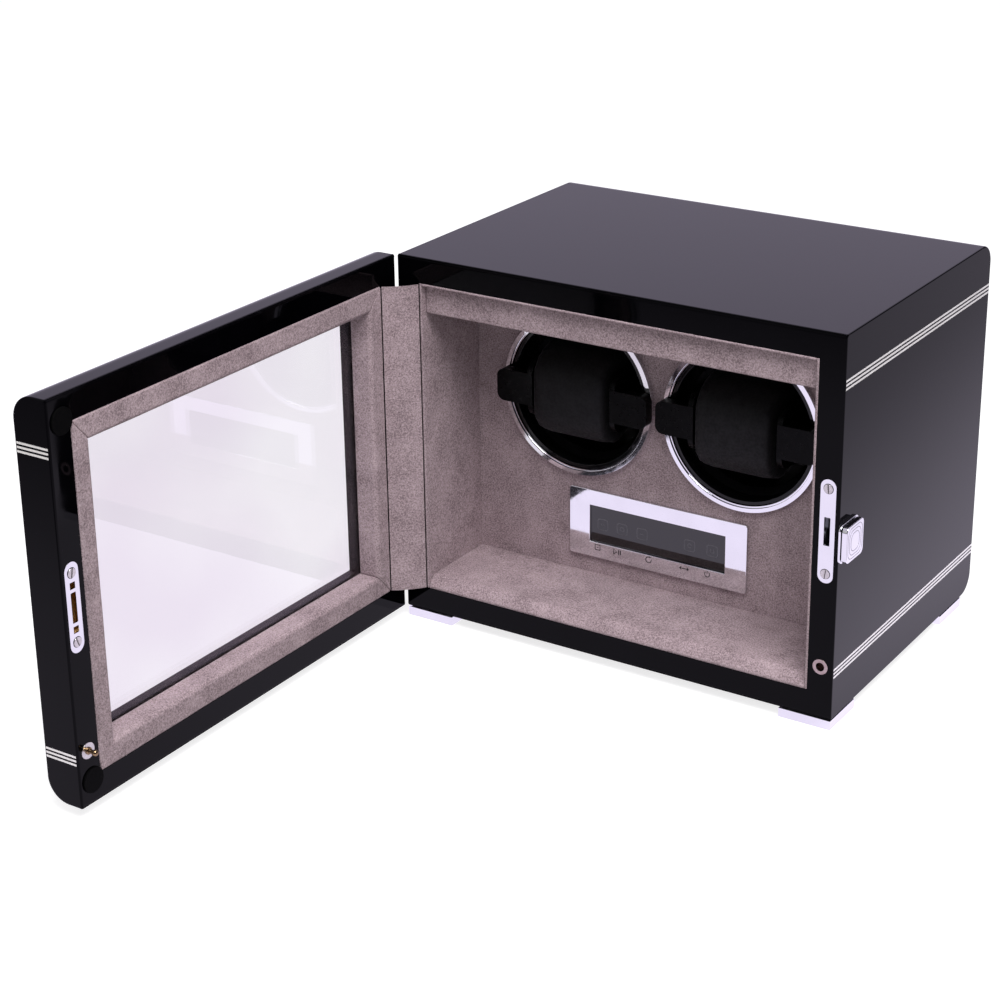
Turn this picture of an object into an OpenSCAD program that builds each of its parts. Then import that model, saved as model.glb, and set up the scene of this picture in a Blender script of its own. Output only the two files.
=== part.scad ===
// Table-top watch winder box for two watches: a lacquered wooden case with a glazed door that
// swings on its left side, a suede lining, two belt-driven winder units with pull-out watch
// holders, a control panel and a hook lock.
//
// The origin is the middle of the case's footprint on the table. +X is the right-hand side,
// +Y the back and +Z up. The door stands open at a right angle, as it is stored here.
// Inside the modules the case's own coordinates are used: y from its front face backwards and
// z from the bottom of its wood upwards. The door is drawn closed and swung open by open_door().

/* [Case] */
// Width of the case
case_w = 255; // [250:1:275]
// Height of the wood, without the feet
case_h = 200; // [198:1:225]
// Depth of the case, without the door
case_d = 179; // [176:1:210]
// Thickness of the side, top and bottom walls
wall_t = 13.6; // [12.6:0.2:15]
// Thickness of the back wall
back_t = 10; // [8:0.5:12]
// Radius along the front edges of the case and the inner edges of the door
edge_r = 1.2; // [0.6:0.2:2]
// Radius along the top and bottom edges of the back
back_r = 11; // [6:0.5:13]

/* [Inlay lines] */
// Distance of each group of three lines from the top or the bottom
inlay_inset = 25; // [22:0.5:32]
// Spacing of the lines
inlay_pitch = 2.05; // [1.6:0.05:3]
// Width of a line
inlay_w = 1.1; // [0.6:0.1:1.4]
// Depth of a line in the wood
inlay_depth = 0.8; // [0.4:0.1:1.2]
// Wood left at the ends of a line
inlay_end = 1; // [0.6:0.1:2]

/* [Door] */
// Thickness of the door
door_t = 20.5; // [19:0.5:24]
// Gap between the closed door and the case
door_gap = 1.2; // [1.2:0.1:2.2]
// Radius along the top and bottom edges of the door's outside
door_r = 12; // [6:0.5:13]
// Door edge to the visible glass, at the sides
window_side = 24.4; // [22:0.2:28]
// Door edge to the visible glass, at the top and bottom
window_end = 25.8; // [22:0.2:28]
// Thickness of the glass
glass_t = 3; // [2:0.5:4]
// Depth of the glass below the door's inside face
glass_depth = 12; // [11:0.5:14]
// Height of the padded frame above the door's inside face
pad_proud = 0.6; // [0.4:0.1:0.7]

/* [Hinge] */
// Outside of the case to the hinge pin's axis
hinge_out = 0.1; // [0.1:0.1:1.2]
// Radius of the knuckles
knuckle_r = 1.5; // [1.5:0.1:1.8]
// Radius of the hinge pin
hinge_pin_r = 0.75; // [0.6:0.05:0.9]
// Length of the hinge
hinge_l = 160; // [120:2:164]
// Number of knuckles on both leaves together
knuckles = 5; // [3:2:9]
// Width of a leaf, from the pin's axis
leaf_w = 12; // [9:0.5:12.5]
// Thickness of a leaf
leaf_t = 1; // [0.8:0.1:1.2]
// Number of screws in a leaf
leaf_screws = 5; // [3:1:7]
// Thickness of the suede web that covers the hinge
web_t = 0.8; // [0.6:0.1:1]
// How far the web bows out between the case and the door
web_bow = 1; // [0.2:0.2:3]

/* [Lining] */
// Thickness of the suede-covered boards
liner_t = 1.4; // [1:0.1:2]
// How far the boards' front edges stand out of the case
lip = 0.25; // [0.1:0.05:0.35]
// Thickness of the padded floor
floor_pad_t = 6.7; // [4:0.1:9]
// Length of the floor's slope at its front edge
floor_slope = 4; // [2:0.5:8]
// Height of the suede strip that hangs under the ceiling
valance_h = 15.5; // [8:0.5:16]
// Thickness of the strip
valance_t = 3; // [2:0.5:5]
// Distance of the strip behind the case's front face
valance_back = 3.6; // [2:0.2:8]

/* [Winder units] */
// Distance of the rotor panel's face behind the case's front face
panel_y = 52; // [50:0.5:60]
// Thickness of the rotor panel
panel_t = 6; // [4:0.5:8]
// Clearance between the two chrome rings
ring_gap = 6.2; // [4:0.2:12]
// Height of the rotor axes above the bottom of the wood
rotor_z = 122; // [121:0.5:126]
// Breadth of the chrome ring's face
ring_w = 3.4; // [2:0.1:4.8]
// Running clearance between the chrome ring and the drum
ring_clear = 0.4; // [0.2:0.1:0.8]
// Height of the chrome ring above the panel
ring_proud = 3; // [2:0.1:4]
// Outer radius of the rotating drum
drum_r = 41.7; // [40:0.1:41.8]
// Depth of the drum, from its rim to its back
drum_l = 52.5; // [50:0.5:60]
// Thickness of the drum's rim and back
drum_wall = 2; // [1.6:0.1:3]
// How much narrower the drum's rear part is
drum_step = 5.7; // [3.7:0.1:8.7]
// Room between the side of the watch cushion and the drum's wall, at its axis
cushion_side_room = 16.2; // [14.7:0.1:19.7]
// Room above and below the watch cushion in the drum, at its axis
cushion_end_room = 12.2; // [8.7:0.1:16.7]
// Depth of the watch cushion
cushion_d = 42; // [36:0.5:44]
// How far the cushion stands out in front of the chrome ring
cushion_out = 13; // [8:0.5:16]
// Clearance between the finger tabs of the two holders
holder_gap = 5.2; // [4:0.2:13]
// Height of a finger tab
tab_h = 18; // [12:0.5:22]
// Thickness of a finger tab
tab_t = 6; // [4:0.5:10]
// Radius of the holder's spigot
spigot_r = 5; // [4:0.1:6]
// Depth to which the spigot goes into the drum
spigot_l = 11; // [8:0.5:12]

/* [Control panel] */
// Width of the chrome plate
plate_w = 107.5; // [96:0.5:120]
// Height of the chrome plate
plate_h = 39; // [34:0.5:44]
// Thickness of the chrome plate
plate_t = 2; // [1.8:0.1:3]
// Height of the plate's middle above the bottom of the wood
plate_z = 49.6; // [46:0.2:52]
// Width of the dark window
window_w = 82; // [60:0.5:90]
// Height of the dark window
window_h = 21.2; // [12:0.2:26]
// Depth of the dark window below the plate's face
window_sunk = 1.2; // [0.2:0.1:1.4]

/* [Lock] */
// Side of the case to the middle of the lock
lock_inset = 6.2; // [5.8:0.1:6.6]
// Height of the lock plates' middle above the bottom of the wood
lock_z = 100.1; // [95:0.1:105]
// Width of the lock's front plate
lock_plate_w = 8.2; // [7:0.1:9]
// Height of the lock's front plate
lock_plate_h = 54; // [48:0.5:60]
// Width of the strike plate on the door
strike_w = 8.6; // [7:0.1:9]
// Height of the strike plate
strike_h = 44.4; // [40:0.2:50]
// Thickness of both plates
lock_plate_t = 1.5; // [1:0.1:2]
// How far both plates stand out of the wood
lock_proud = 0.3; // [0.1:0.05:0.4]
// Width of the slots
slot_w = 3.2; // [3:0.1:3.6]
// Case front to the axis of the knob
knob_y = 9.5; // [9:0.1:10]
// Axis of the knob below the middle of the plates
knob_drop = 5.9; // [5.7:0.1:6]
// Side of the square knob
knob_w = 19; // [14:0.5:24]
// Thickness of the knob
knob_t = 3; // [2:0.1:6]
// Thickness of the plate under the knob
rosette_t = 1.2; // [0.8:0.1:2]
// Length of the hook's beak
hook_beak = 4.6; // [3.5:0.1:5.2]
// Thickness of the hook's beak, outside the strike plate's inner face
hook_tip = 2.6; // [2:0.1:3.2]
// Thickness of the hook
hook_t = 2.4; // [1.6:0.1:2.6]
// Radius of the knob's spindle
spindle_r = 3; // [2:0.1:3.4]

/* [Guide pin and bumpers] */
// Edge of the door to the guide pin
guide_inset = 6.85; // [6:0.05:7.5]
// Height of the guide pin above the bottom of the wood
guide_z = 27.8; // [27:0.1:34]
// Radius of the pin's round head
guide_r = 1.6; // [1.2:0.1:2]
// How far the pin stands out of the door
guide_l = 6; // [4:0.5:8]
// Radius of the flanges of the pin and its socket
guide_flange_r = 4.1; // [3.4:0.1:4.6]
// Radius of a bumper pad
bumper_r = 6.4; // [4:0.1:7]
// Free edge of the door to a bumper's middle
bumper_side = 8.4; // [8:0.1:9]
// Top or bottom of the door to a bumper's middle
bumper_end = 12; // [9:0.5:13]

/* [Drive] */
// Radius of the belt's path on the driven pulley
driven_r = 24; // [20:0.5:28]
// Radius of the belt's path on the motor pulley
motor_pulley_r = 8; // [6:0.5:10]
// Radius of the rotor's shaft
shaft_r = 4; // [3:0.1:5]
// Radius of the motor's shaft
motor_shaft_r = 2.5; // [1.5:0.1:3]
// Radius of the gear motor
motor_r = 18.5; // [15:0.5:20]
// Length of the gear motor
motor_l = 37; // [30:1:40]
// Clearance between a drum and the motor below it
motor_gap = 3.8; // [1.8:0.1:5.8]
// Width of the belts
belt_w = 5; // [3:0.5:6]
// Thickness of the belts
belt_t = 1.6; // [1:0.1:1.8]
// Thickness of the plate that carries the motors and bushes
frame_t = 4; // [3:0.5:6]

/* [Back cover and power inlet] */
// Width of the back cover
cover_w = 195; // [180:1:210]
// Height of the back cover
cover_h = 135; // [124:1:150]
// Thickness of the back cover
cover_t = 2; // [1.5:0.1:3]
// Overlap of the cover on the back wall
cover_lap = 8; // [6:0.5:10]
// Position of the power inlet to the right of the middle
inlet_x = 60; // [40:1:72]
// Height of the power inlet above the bottom edge of the back cover
inlet_rise = 27.5; // [21:0.5:39]
// Radius of the power inlet's hole
inlet_r = 2.9; // [2.7:0.1:3.2]
// Radius of the power inlet's contact pin
inlet_pin_r = 1; // [0.8:0.05:1.25]

/* [Feet] */
// Side of a square foot
foot_w = 28.5; // [20:0.5:34]
// Height of the polished part of a foot
foot_block_h = 5; // [3:0.5:12]
// Shadow gap between a foot and the case
foot_gap = 1; // [0.5:0.1:2]
// Distance of the feet from the sides and the front
foot_inset = 0.5; // [0.2:0.1:6]

/* [Fits] */
// Radial clearance of shafts in their bores
running_fit = 0.05; // [0.03:0.01:0.08]
// Clearance round pieces that are let in and fixed
seat_fit = 0.1; // [0.05:0.05:0.2]

/* [Hidden] */
$fn = 64;

lacquer = "#17161b";
suede = "#948480";
silver_inlay = "#dcdad2";
chrome = "#d6d8dc";
steel = "#9a9da3";
black_gloss = "#0c0c0e";
black_matt = "#222224";
brass = "#b98b45";
bronze = "#a9753c";

half_w = case_w / 2;
foot_h = foot_block_h + foot_gap;
cut = 1; // how far a cutting shape runs past the face that it opens
pilot_spare = 0.5; // room left past the tip of a screw in its hole

// The opening of the case, and the room between its lining boards
open_w = case_w - 2 * wall_t;
open_top = case_h - wall_t;
room_w = open_w - 2 * liner_t;
room_top = open_top - liner_t;

// The closed door, from its inside face to its outside face
door_in_y = -door_gap;
door_out_y = door_in_y - door_t;
glass_in_y = door_in_y - glass_depth;
glass_out_y = glass_in_y - glass_t;
glass_edge = wall_t + 0.2;

// The hinge
hinge_x = -half_w - hinge_out;
hinge_y = -door_gap / 2;
hinge_z0 = (case_h - hinge_l) / 2;
knuckle_l = hinge_l / knuckles;
knuckle_gap = 0.15;
cove_r = knuckle_r + 0.2;
leaf_screw_x = hinge_x + leaf_w * 0.62;
leaf_head_r = 1.7;
wood_screw_r = 1;
leaf_screw_l = 8;

// Winder units, all in the distance behind the case's front face
ring_hole_r = drum_r + ring_clear;
ring_r = ring_hole_r + ring_w;
rotor_pitch = 2 * ring_r + ring_gap;
tab_span = rotor_pitch - holder_gap;
drum_step_r = drum_r - drum_step;
drum_step_in = 12;
drum_taper_in = 9;
cushion_w = 2 * (drum_r - drum_wall - cushion_side_room);
cushion_h = 2 * (drum_r - drum_wall - cushion_end_room);
motor_drop = drum_r + motor_r + motor_gap;
ring_y = panel_y - ring_proud;
ring_sleeve_r = ring_hole_r + 1.4;
rim_y = ring_y + 1.5;
drum_back_y = rim_y + drum_l;
boss_l = 4;
drum_boss_y = drum_back_y + boss_l;
hub_r = spigot_r + 4;
hub_l = 14.5;
hub_front_y = drum_back_y - hub_l;
web_front_y = drum_back_y - 3;
shaft_end_y = drum_back_y - 1;
cushion_y = ring_y - cushion_out + cushion_d / 2;
cheek_t = 3;
cheek_over = 7;
cheek_corner = 8;
cheek_gap = 0.3;
cheek_x = cushion_w / 2 + cheek_gap;
bridge_t = 3;
bridge_y = hub_front_y - 1.5 - bridge_t;
tab_y = ring_y - 0.5 - tab_t;
tab_corner = 4.5;
key_w = 2.4;
key_h = 1.2;

// Drive, behind the drums
frame_y = drum_boss_y + 2.5;
frame_back_y = frame_y + frame_t;
frame_side = 45;
frame_top = 44;
frame_w = rotor_pitch + 2 * frame_side;
frame_z0 = 34;
frame_z1 = rotor_z + frame_top;
bush_flange_t = 2;
bush_wall = 2.5;
bush_tail = 2.5;
pulley_y = frame_back_y + bush_tail + 0.5;
flange_t = 0.8;
pulley_l = belt_w + 2 * flange_t + 0.4;
flange_h = 2;
belt_slack = 0.1;
motor_z = rotor_z - motor_drop;
motor_boss_r = 5;
motor_shaft_in = 7;
motor_screw_x = motor_r - 4;
motor_screw_r = 1.5;
motor_head_r = 2.6;
motor_head_t = 1.8;
post_r = 4;
post_clear = 12;
post_spots = [
  for (x = [-1, 1]) [x * (frame_w / 2 - 6), frame_z0 + 5],
  for (x = [-1, 0, 1]) [x * (frame_w / 2 - 6), frame_z1 - 5],
  [0, plate_z + plate_h / 2 + post_clear],
];
post_stud_r = 1.5;
post_stud_in = 4;
post_screw_in = 8;
motor_screw_in = 4;

// Control panel
board_w = plate_w - 3;
board_h = plate_h - 3;
board_t = 1.6;
module_hole_w = window_w + 6;
module_hole_h = window_h + 4;
window_back_y = panel_y;

// Back cover and inlet
cover_z = case_h / 2;
inlet_z = cover_z - cover_h / 2 + inlet_rise;
inlet_body_r = 5.5;
inlet_flange_r = 7;
inlet_flange_t = 1.5;
inlet_l = 14;
inlet_bore_l = 11;
cover_face_y = case_d - 0.1;
cover_screw_in = 5.5;
inlet_face_y = cover_face_y + inlet_flange_t;
nut_t = 3;
nut_r = 8.5;

// Lock
lock_x = half_w - lock_inset;
knob_z = lock_z - knob_drop;
slot_z = lock_z;
lock_screw_z = lock_plate_h / 2 - 4.85;
strike_screw_z = strike_h / 2 - 5.3;
lock_body_w = 7;
lock_body_d = 22;
lock_body_h = 42;
lock_skin = 1.2;
plate_head_r = 2.4;
plate_head_h = 0.35;
plate_screw_l = 9;
hook_arm = 1.3;
hook_hub_r = 4.2;
hook_gap = 0.3;
plate_back_y = lock_plate_t - lock_proud;
hook_reach = knob_y - door_in_y + plate_back_y + hook_gap + hook_tip;
// The hook's farthest corner swings out through the slot, which ends just above its path
hook_swing = norm([hook_reach, hook_beak]);
slot_l = 2 * (sqrt(pow(hook_swing, 2) - pow(knob_y - plate_back_y, 2)) + hook_gap / 2 - knob_drop);
rosette_w = knob_w + 1.2;
knob_gap = 0.3;
knob_corner = 3;
strike_box_w = 6.4;
strike_box_h = 25;
strike_box_d = 9.5;
strike_skin = 0.8;

guide_x = half_w - guide_inset;
guide_flange_t = 1;
guide_tail_l = 10;
guide_tail_r = 1.5;
guide_hole_r = guide_r + 0.6;
guide_socket_l = guide_l + 5;
bumper_x = half_w - bumper_side;
bumper_proud = door_gap - 0.3;
bumper_sunk = 1.4;

foot_spots = [
  for (x = [-1, 1]) for (y = [foot_inset + foot_w / 2, case_d - back_r - foot_inset - foot_w / 2])
    [x * (half_w - foot_inset - foot_w / 2), y],
];
foot_screw_r = 1.7;
foot_head_r = 3.4;
foot_head_t = 2;
foot_screw_in = 9;

// ---- placing and shared shapes ----

module in_case() translate([0, -case_d / 2, foot_h]) children();

module open_door()
  in_case() translate([hinge_x, hinge_y, 0]) rotate([0, 0, -90]) translate([-hinge_x, -hinge_y, 0]) children();

module block(low, high) translate(low) cube(high - low);

// A flat shape drawn in x and z, given thickness from y0 to y1
module along_y(y0, y1) translate([0, y1, 0]) rotate([90, 0, 0]) linear_extrude(y1 - y0) children();

// A flat shape drawn in y and z, given thickness from x0 to x1
module along_x(x0, x1) translate([x0, 0, 0]) rotate([90, 0, 90]) linear_extrude(x1 - x0) children();

module rod_y(x, z, y0, y1, r) translate([x, y0, z]) rotate([-90, 0, 0]) cylinder(r = r, h = y1 - y0);

module rod_x(y, z, x0, x1, r) translate([x0, y, z]) rotate([0, 90, 0]) cylinder(r = r, h = x1 - x0);

// A profile drawn as radius and y, turned about the line through x and z
module turned(x, z) translate([x, 0, z]) rotate([-90, 0, 0]) rotate_extrude() children();

module rounded_rect(w, h, r) {
  square([w - 2 * r, h], center = true);
  square([w, h - 2 * r], center = true);
  for (x = [-1, 1]) for (y = [-1, 1]) translate([x * (w / 2 - r), y * (h / 2 - r)]) circle(r);
}

// The end view of a board: one radius along its front edges and another along its back edges
module board_end(y0, y1, height, r_front, r_back) intersection() {
  translate([y0, 0]) square([y1 - y0, height]);
  union() {
    translate([y0 + r_front, 0]) square([y1 - y0 - r_front - r_back, height]);
    translate([y0, r_front]) square([r_front, height - 2 * r_front]);
    translate([y1 - r_back, r_back]) square([r_back, height - 2 * r_back]);
    for (z = [r_front, height - r_front]) translate([y0 + r_front, z]) circle(r_front);
    for (z = [r_back, height - r_back]) translate([y1 - r_back, z]) circle(r_back);
  }
}

// A pan-head screw with a slot: its head stands on z = 0 and its shank goes down
module screw(head_r, head_h, shank_r, length) {
  difference() {
    cylinder(r = head_r, h = head_h);
    translate([0, 0, head_h]) cube([head_r * 3, head_r * 0.32, head_h], center = true);
  }
  translate([0, 0, -length]) cylinder(r = shank_r, h = length);
}

module screw_facing_front(x, y, z, head_r, head_h, shank_r, length)
  translate([x, y, z]) rotate([90, 0, 0]) screw(head_r, head_h, shank_r, length);

module screw_facing_back(x, y, z, head_r, head_h, shank_r, length)
  translate([x, y, z]) rotate([-90, 0, 0]) screw(head_r, head_h, shank_r, length);

// Two groups of three thin lines in each side face, from y0 to y1
module side_lines(y0, y1)
  for (side = [-1, 1]) for (group = [inlay_inset, case_h - inlay_inset]) for (i = [-1:1])
    translate([side * (half_w - inlay_depth / 2), (y0 + y1) / 2, group + i * inlay_pitch])
      cube([inlay_depth, y1 - y0, inlay_w], center = true);

// ---- hinge ----

function knuckle_z(i) = hinge_z0 + i * knuckle_l;
function leaf_screw_z(i) = hinge_z0 + hinge_l * (i + 0.5) / leaf_screws;

// The room that a leaf and the knuckles need, in the wood with its face at y = 0
module hinge_mortise(face_y, into) {
  far_y = face_y + into * (leaf_t + 0.02);
  block([-half_w - cut, min(face_y - into * cut, far_y), hinge_z0 - seat_fit],
        [hinge_x + leaf_w + seat_fit, max(face_y - into * cut, far_y), hinge_z0 + hinge_l + seat_fit]);
  translate([hinge_x, hinge_y, hinge_z0 - seat_fit]) cylinder(r = cove_r, h = hinge_l + 2 * seat_fit);
}

// A leaf with every second knuckle. into is +1 for the case's leaf and -1 for the door's
module hinge_leaf(first, face_y, into) difference() {
  union() {
    block([hinge_x, min(face_y, face_y + into * leaf_t), hinge_z0],
          [hinge_x + leaf_w, max(face_y, face_y + into * leaf_t), hinge_z0 + hinge_l]);
    for (i = [first:2:knuckles - 1])
      translate([hinge_x, hinge_y, knuckle_z(i) + knuckle_gap / 2])
        cylinder(r = knuckle_r, h = knuckle_l - knuckle_gap);
  }
  for (i = [1 - first:2:knuckles - 1])
    translate([hinge_x, hinge_y, knuckle_z(i) - knuckle_gap / 2])
      cylinder(r = knuckle_r + 0.1, h = knuckle_l + knuckle_gap);
  translate([hinge_x, hinge_y, hinge_z0 - cut])
    cylinder(r = hinge_pin_r + running_fit, h = hinge_l + 2 * cut);
  for (i = [0:leaf_screws - 1])
    rod_y(leaf_screw_x, leaf_screw_z(i), face_y - leaf_t - cut, face_y + leaf_t + cut, leaf_head_r + 0.05);
}

module leaf_pilots(y0, y1)
  for (i = [0:leaf_screws - 1]) rod_y(leaf_screw_x, leaf_screw_z(i), y0, y1, wood_screw_r + 0.02);

module hinge_case_leaf() color(steel) in_case() hinge_leaf(0, 0, 1);

module hinge_case_screws() color(steel) in_case()
  for (i = [0:leaf_screws - 1])
    screw_facing_front(leaf_screw_x, leaf_t, leaf_screw_z(i), leaf_head_r, leaf_t, wood_screw_r, leaf_screw_l);

module hinge_door_leaf() color(steel) open_door() hinge_leaf(1, door_in_y, -1);

module hinge_door_screws() color(steel) open_door()
  for (i = [0:leaf_screws - 1])
    screw_facing_back(leaf_screw_x, door_in_y - leaf_t, leaf_screw_z(i), leaf_head_r, leaf_t, wood_screw_r, leaf_screw_l);

module hinge_pin() color(steel) open_door()
  translate([hinge_x, hinge_y, hinge_z0]) cylinder(r = hinge_pin_r, h = hinge_l);

// The suede web runs from the case's lining to the door's padded frame and hides the hinge.
// Its ends, as the hinge stands open: the door's inside face then looks along +X.
web_case = [-open_w / 2 - 0.1, -lip - web_t * 0.8];
door_open_x = hinge_x - hinge_y + door_in_y;
pad_edge_open_y = hinge_y - (-half_w + glass_edge - hinge_x);
web_door = [door_open_x + web_t * 0.8, pad_edge_open_y + web_t * 0.8];
web_chord = web_door - web_case;
web_side = [-web_chord[1], web_chord[0]] / norm(web_chord);
web_out = web_side * (web_side[0] > 0 ? 1 : -1);
web_mid = (web_case + web_door) / 2 + web_out * web_bow;

module hinge_web() color(suede) in_case()
  translate([0, 0, wall_t + 0.6]) linear_extrude(case_h - 2 * wall_t - 1.2) polygon([
    web_case - web_out * web_t / 2, web_mid - web_out * web_t / 2, web_door - web_out * web_t / 2,
    web_door + web_out * web_t / 2, web_mid + web_out * web_t / 2, web_case + web_out * web_t / 2,
  ]);

// ---- case ----

module cover_shape(fit) translate([0, cover_z]) rounded_rect(cover_w + 2 * fit, cover_h + 2 * fit, 6);

cover_screw_spots = [
  for (x = [-1, 0, 1]) for (z = [-1, 1]) [x * (cover_w / 2 - cover_lap / 2), cover_z + z * (cover_h / 2 - cover_lap / 2)],
];

module case_shell() color(lacquer) in_case() difference() {
  along_x(-half_w, half_w) board_end(0, case_d, case_h, edge_r, back_r);
  block([-open_w / 2, -cut, wall_t], [open_w / 2, case_d - back_t, open_top]);
  along_y(case_d - back_t - cut, case_d + cut)
    translate([0, cover_z]) square([cover_w - 2 * cover_lap, cover_h - 2 * cover_lap], center = true);
  along_y(cover_face_y - cover_t, case_d + cut) cover_shape(seat_fit);
  for (p = cover_screw_spots)
    rod_y(p[0], p[1], cover_face_y - cover_t - cover_screw_in - pilot_spare, case_d, wood_screw_r + 0.02);
  side_lines(inlay_end, case_d - inlay_end);
  hinge_mortise(0, 1);
  leaf_pilots(0, leaf_t + leaf_screw_l + pilot_spare);
  lock_mortise();
  turned(guide_x, guide_z) guide_socket_profile(seat_fit, true);
  for (p = foot_spots)
    translate([p[0], p[1], -cut]) cylinder(r = foot_screw_r + 0.02, h = foot_screw_in + cut + pilot_spare);
}

module case_inlays() color(silver_inlay) in_case() side_lines(inlay_end, case_d - inlay_end);

module back_cover() color(black_matt) in_case() difference() {
  along_y(cover_face_y - cover_t, cover_face_y) cover_shape(0);
  for (p = cover_screw_spots) rod_y(p[0], p[1], 0, case_d, wood_screw_r + 0.2);
  rod_y(inlet_x, inlet_z, 0, case_d + cut, inlet_body_r + seat_fit);
}

module back_cover_screws() color(steel) in_case()
  for (p = cover_screw_spots)
    screw_facing_back(p[0], cover_face_y, p[1], 2.4, 1.2, wood_screw_r, cover_t + cover_screw_in);

// Barrel socket: a threaded body with its contact pin, and the nut that clamps it to the cover
module power_inlet() in_case() {
  color(black_matt) turned(inlet_x, inlet_z) difference() {
    union() {
      translate([0, cover_face_y - cover_t - inlet_l]) square([inlet_body_r, cover_t + inlet_l]);
      translate([0, cover_face_y]) square([inlet_flange_r, inlet_flange_t]);
    }
    translate([inlet_pin_r, inlet_face_y - inlet_bore_l]) square([inlet_r - inlet_pin_r, inlet_bore_l + cut]);
    translate([0, inlet_face_y - cut]) square([inlet_r, 2 * cut]);
  }
  color(steel) along_y(cover_face_y - cover_t - nut_t, cover_face_y - cover_t) translate([inlet_x, inlet_z])
    difference() {
      circle(r = nut_r, $fn = 6);
      circle(r = inlet_body_r + 0.02);
    }
}

// A wire with round bends along a list of points
module wire(points, r) {
  $fn = 16;
  for (i = [0:len(points) - 2]) {
    run = points[i + 1] - points[i];
    translate(points[i]) rotate([0, acos(run[2] / norm(run)), atan2(run[1], run[0])]) cylinder(r = r, h = norm(run));
  }
  for (i = [1:len(points) - 2]) translate(points[i]) sphere(r);
}

wire_r = 1.1;
wire_lead = 6; // straight end of a wire, before its first bend
motor_plug_x = 18;
wire_over_floor = 8;
plug_from_end = 12;
board_back_y = panel_y + panel_t + board_t;
inlet_tail_y = cover_face_y - cover_t - inlet_l;
motor_tail_y = frame_y - motor_l;

module wiring() color("#5a1f1f") in_case() {
  low_z = wall_t + wire_over_floor;
  plug_x = plate_w / 2 - plug_from_end;
  plug_z = plate_z - plate_h / 2 + wire_lead;
  wire([[inlet_x, inlet_tail_y, inlet_z], [inlet_x, inlet_tail_y - 2 * wire_lead, inlet_z],
        [inlet_x, inlet_tail_y - 3 * wire_lead, low_z], [inlet_x, board_back_y + 2 * wire_lead, low_z],
        [plug_x, board_back_y + wire_lead, plug_z], [plug_x, board_back_y, plug_z]], wire_r);
  for (side = [-1, 1])
    wire([[side * motor_plug_x, board_back_y, plate_z], [side * motor_plug_x, motor_tail_y - wire_lead, plate_z],
          [side * rotor_pitch / 2, motor_tail_y - wire_lead, motor_z], [side * rotor_pitch / 2, motor_tail_y, motor_z]], wire_r);
}

// ---- lining ----

module side_board(x0) color(suede) in_case()
  block([x0, -lip, wall_t], [x0 + liner_t, panel_y, open_top]);

module liner_left() side_board(-open_w / 2);

module liner_right() side_board(open_w / 2 - liner_t);

module liner_ceiling() color(suede) in_case()
  block([-room_w / 2, -lip, room_top], [room_w / 2, panel_y, open_top]);

module liner_floor() color(suede) in_case() along_x(-room_w / 2, room_w / 2)
  polygon([[-lip, wall_t], [panel_y, wall_t], [panel_y, wall_t + floor_pad_t],
           [floor_slope - lip, wall_t + floor_pad_t], [-lip, wall_t + liner_t]]);

module valance() color(suede) in_case()
  block([-room_w / 2, valance_back, room_top - valance_h], [room_w / 2, valance_back + valance_t, room_top]);

module rotor_panel() color(suede) in_case() difference() {
  block([-open_w / 2, panel_y, wall_t], [open_w / 2, panel_y + panel_t, open_top]);
  for (side = [-1, 1])
    rod_y(side * rotor_pitch / 2, rotor_z, panel_y - cut, panel_y + panel_t + cut, ring_sleeve_r + seat_fit);
  along_y(panel_y - cut, panel_y + panel_t + cut)
    translate([0, plate_z]) square([module_hole_w, module_hole_h], center = true);
  for (p = post_spots)
    rod_y(p[0], p[1], panel_y + panel_t - post_stud_in - pilot_spare, panel_y + panel_t + cut, post_stud_r + 0.02);
}

// ---- winder units ----

// The chrome ring: a rounded face, a thin inner step and a sleeve through the panel
module ring(side) color(chrome) in_case() turned(side * rotor_pitch / 2, rotor_z) {
  face_r = (ring_r - ring_hole_r - 0.7) / 2;
  difference() {
    union() {
      translate([ring_r - face_r, ring_y + 0.8]) scale([face_r, face_r]) circle(1);
      translate([ring_hole_r + 0.7, ring_y + 0.8]) square([ring_r - ring_hole_r - 0.7, ring_proud - 0.8]);
    }
    translate([ring_hole_r, panel_y]) square([face_r * 3, face_r * 3]);
    translate([ring_hole_r - 1, ring_y - 2]) square([face_r * 3 + 2, 2]);
  }
  translate([ring_hole_r, ring_y + 0.8]) square([0.7, ring_proud]);
  translate([ring_hole_r, panel_y - 0.5]) square([ring_sleeve_r - ring_hole_r, panel_t + 2.5]);
}

module ring_left() ring(-1);

module ring_right() ring(1);

// The drum: a stepped cup with a socket for the holder's spigot and, behind it, for the shaft
module drum(side) color(black_gloss) in_case() difference() {
  turned(side * rotor_pitch / 2, rotor_z) polygon([
    [0, web_front_y], [spigot_r + running_fit, web_front_y], [spigot_r + running_fit, hub_front_y],
    [hub_r, hub_front_y], [hub_r, drum_back_y - drum_wall], [drum_step_r, drum_back_y - drum_wall],
    [drum_step_r, rim_y + drum_step_in], [drum_r - drum_wall, rim_y + drum_taper_in], [drum_r - drum_wall, rim_y],
    [drum_r, rim_y], [drum_r, drum_back_y], [shaft_r + 4, drum_back_y], [shaft_r + 4, drum_boss_y],
    [shaft_r + 0.01, drum_boss_y], [shaft_r + 0.01, shaft_end_y], [0, shaft_end_y],
  ]);
  block([side * rotor_pitch / 2 - key_w / 2 - 0.1, hub_front_y - cut, rotor_z],
        [side * rotor_pitch / 2 + key_w / 2 + 0.1, web_front_y, rotor_z + spigot_r + key_h + 0.1]);
}

module drum_left() drum(-1);

module drum_right() drum(1);

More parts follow.
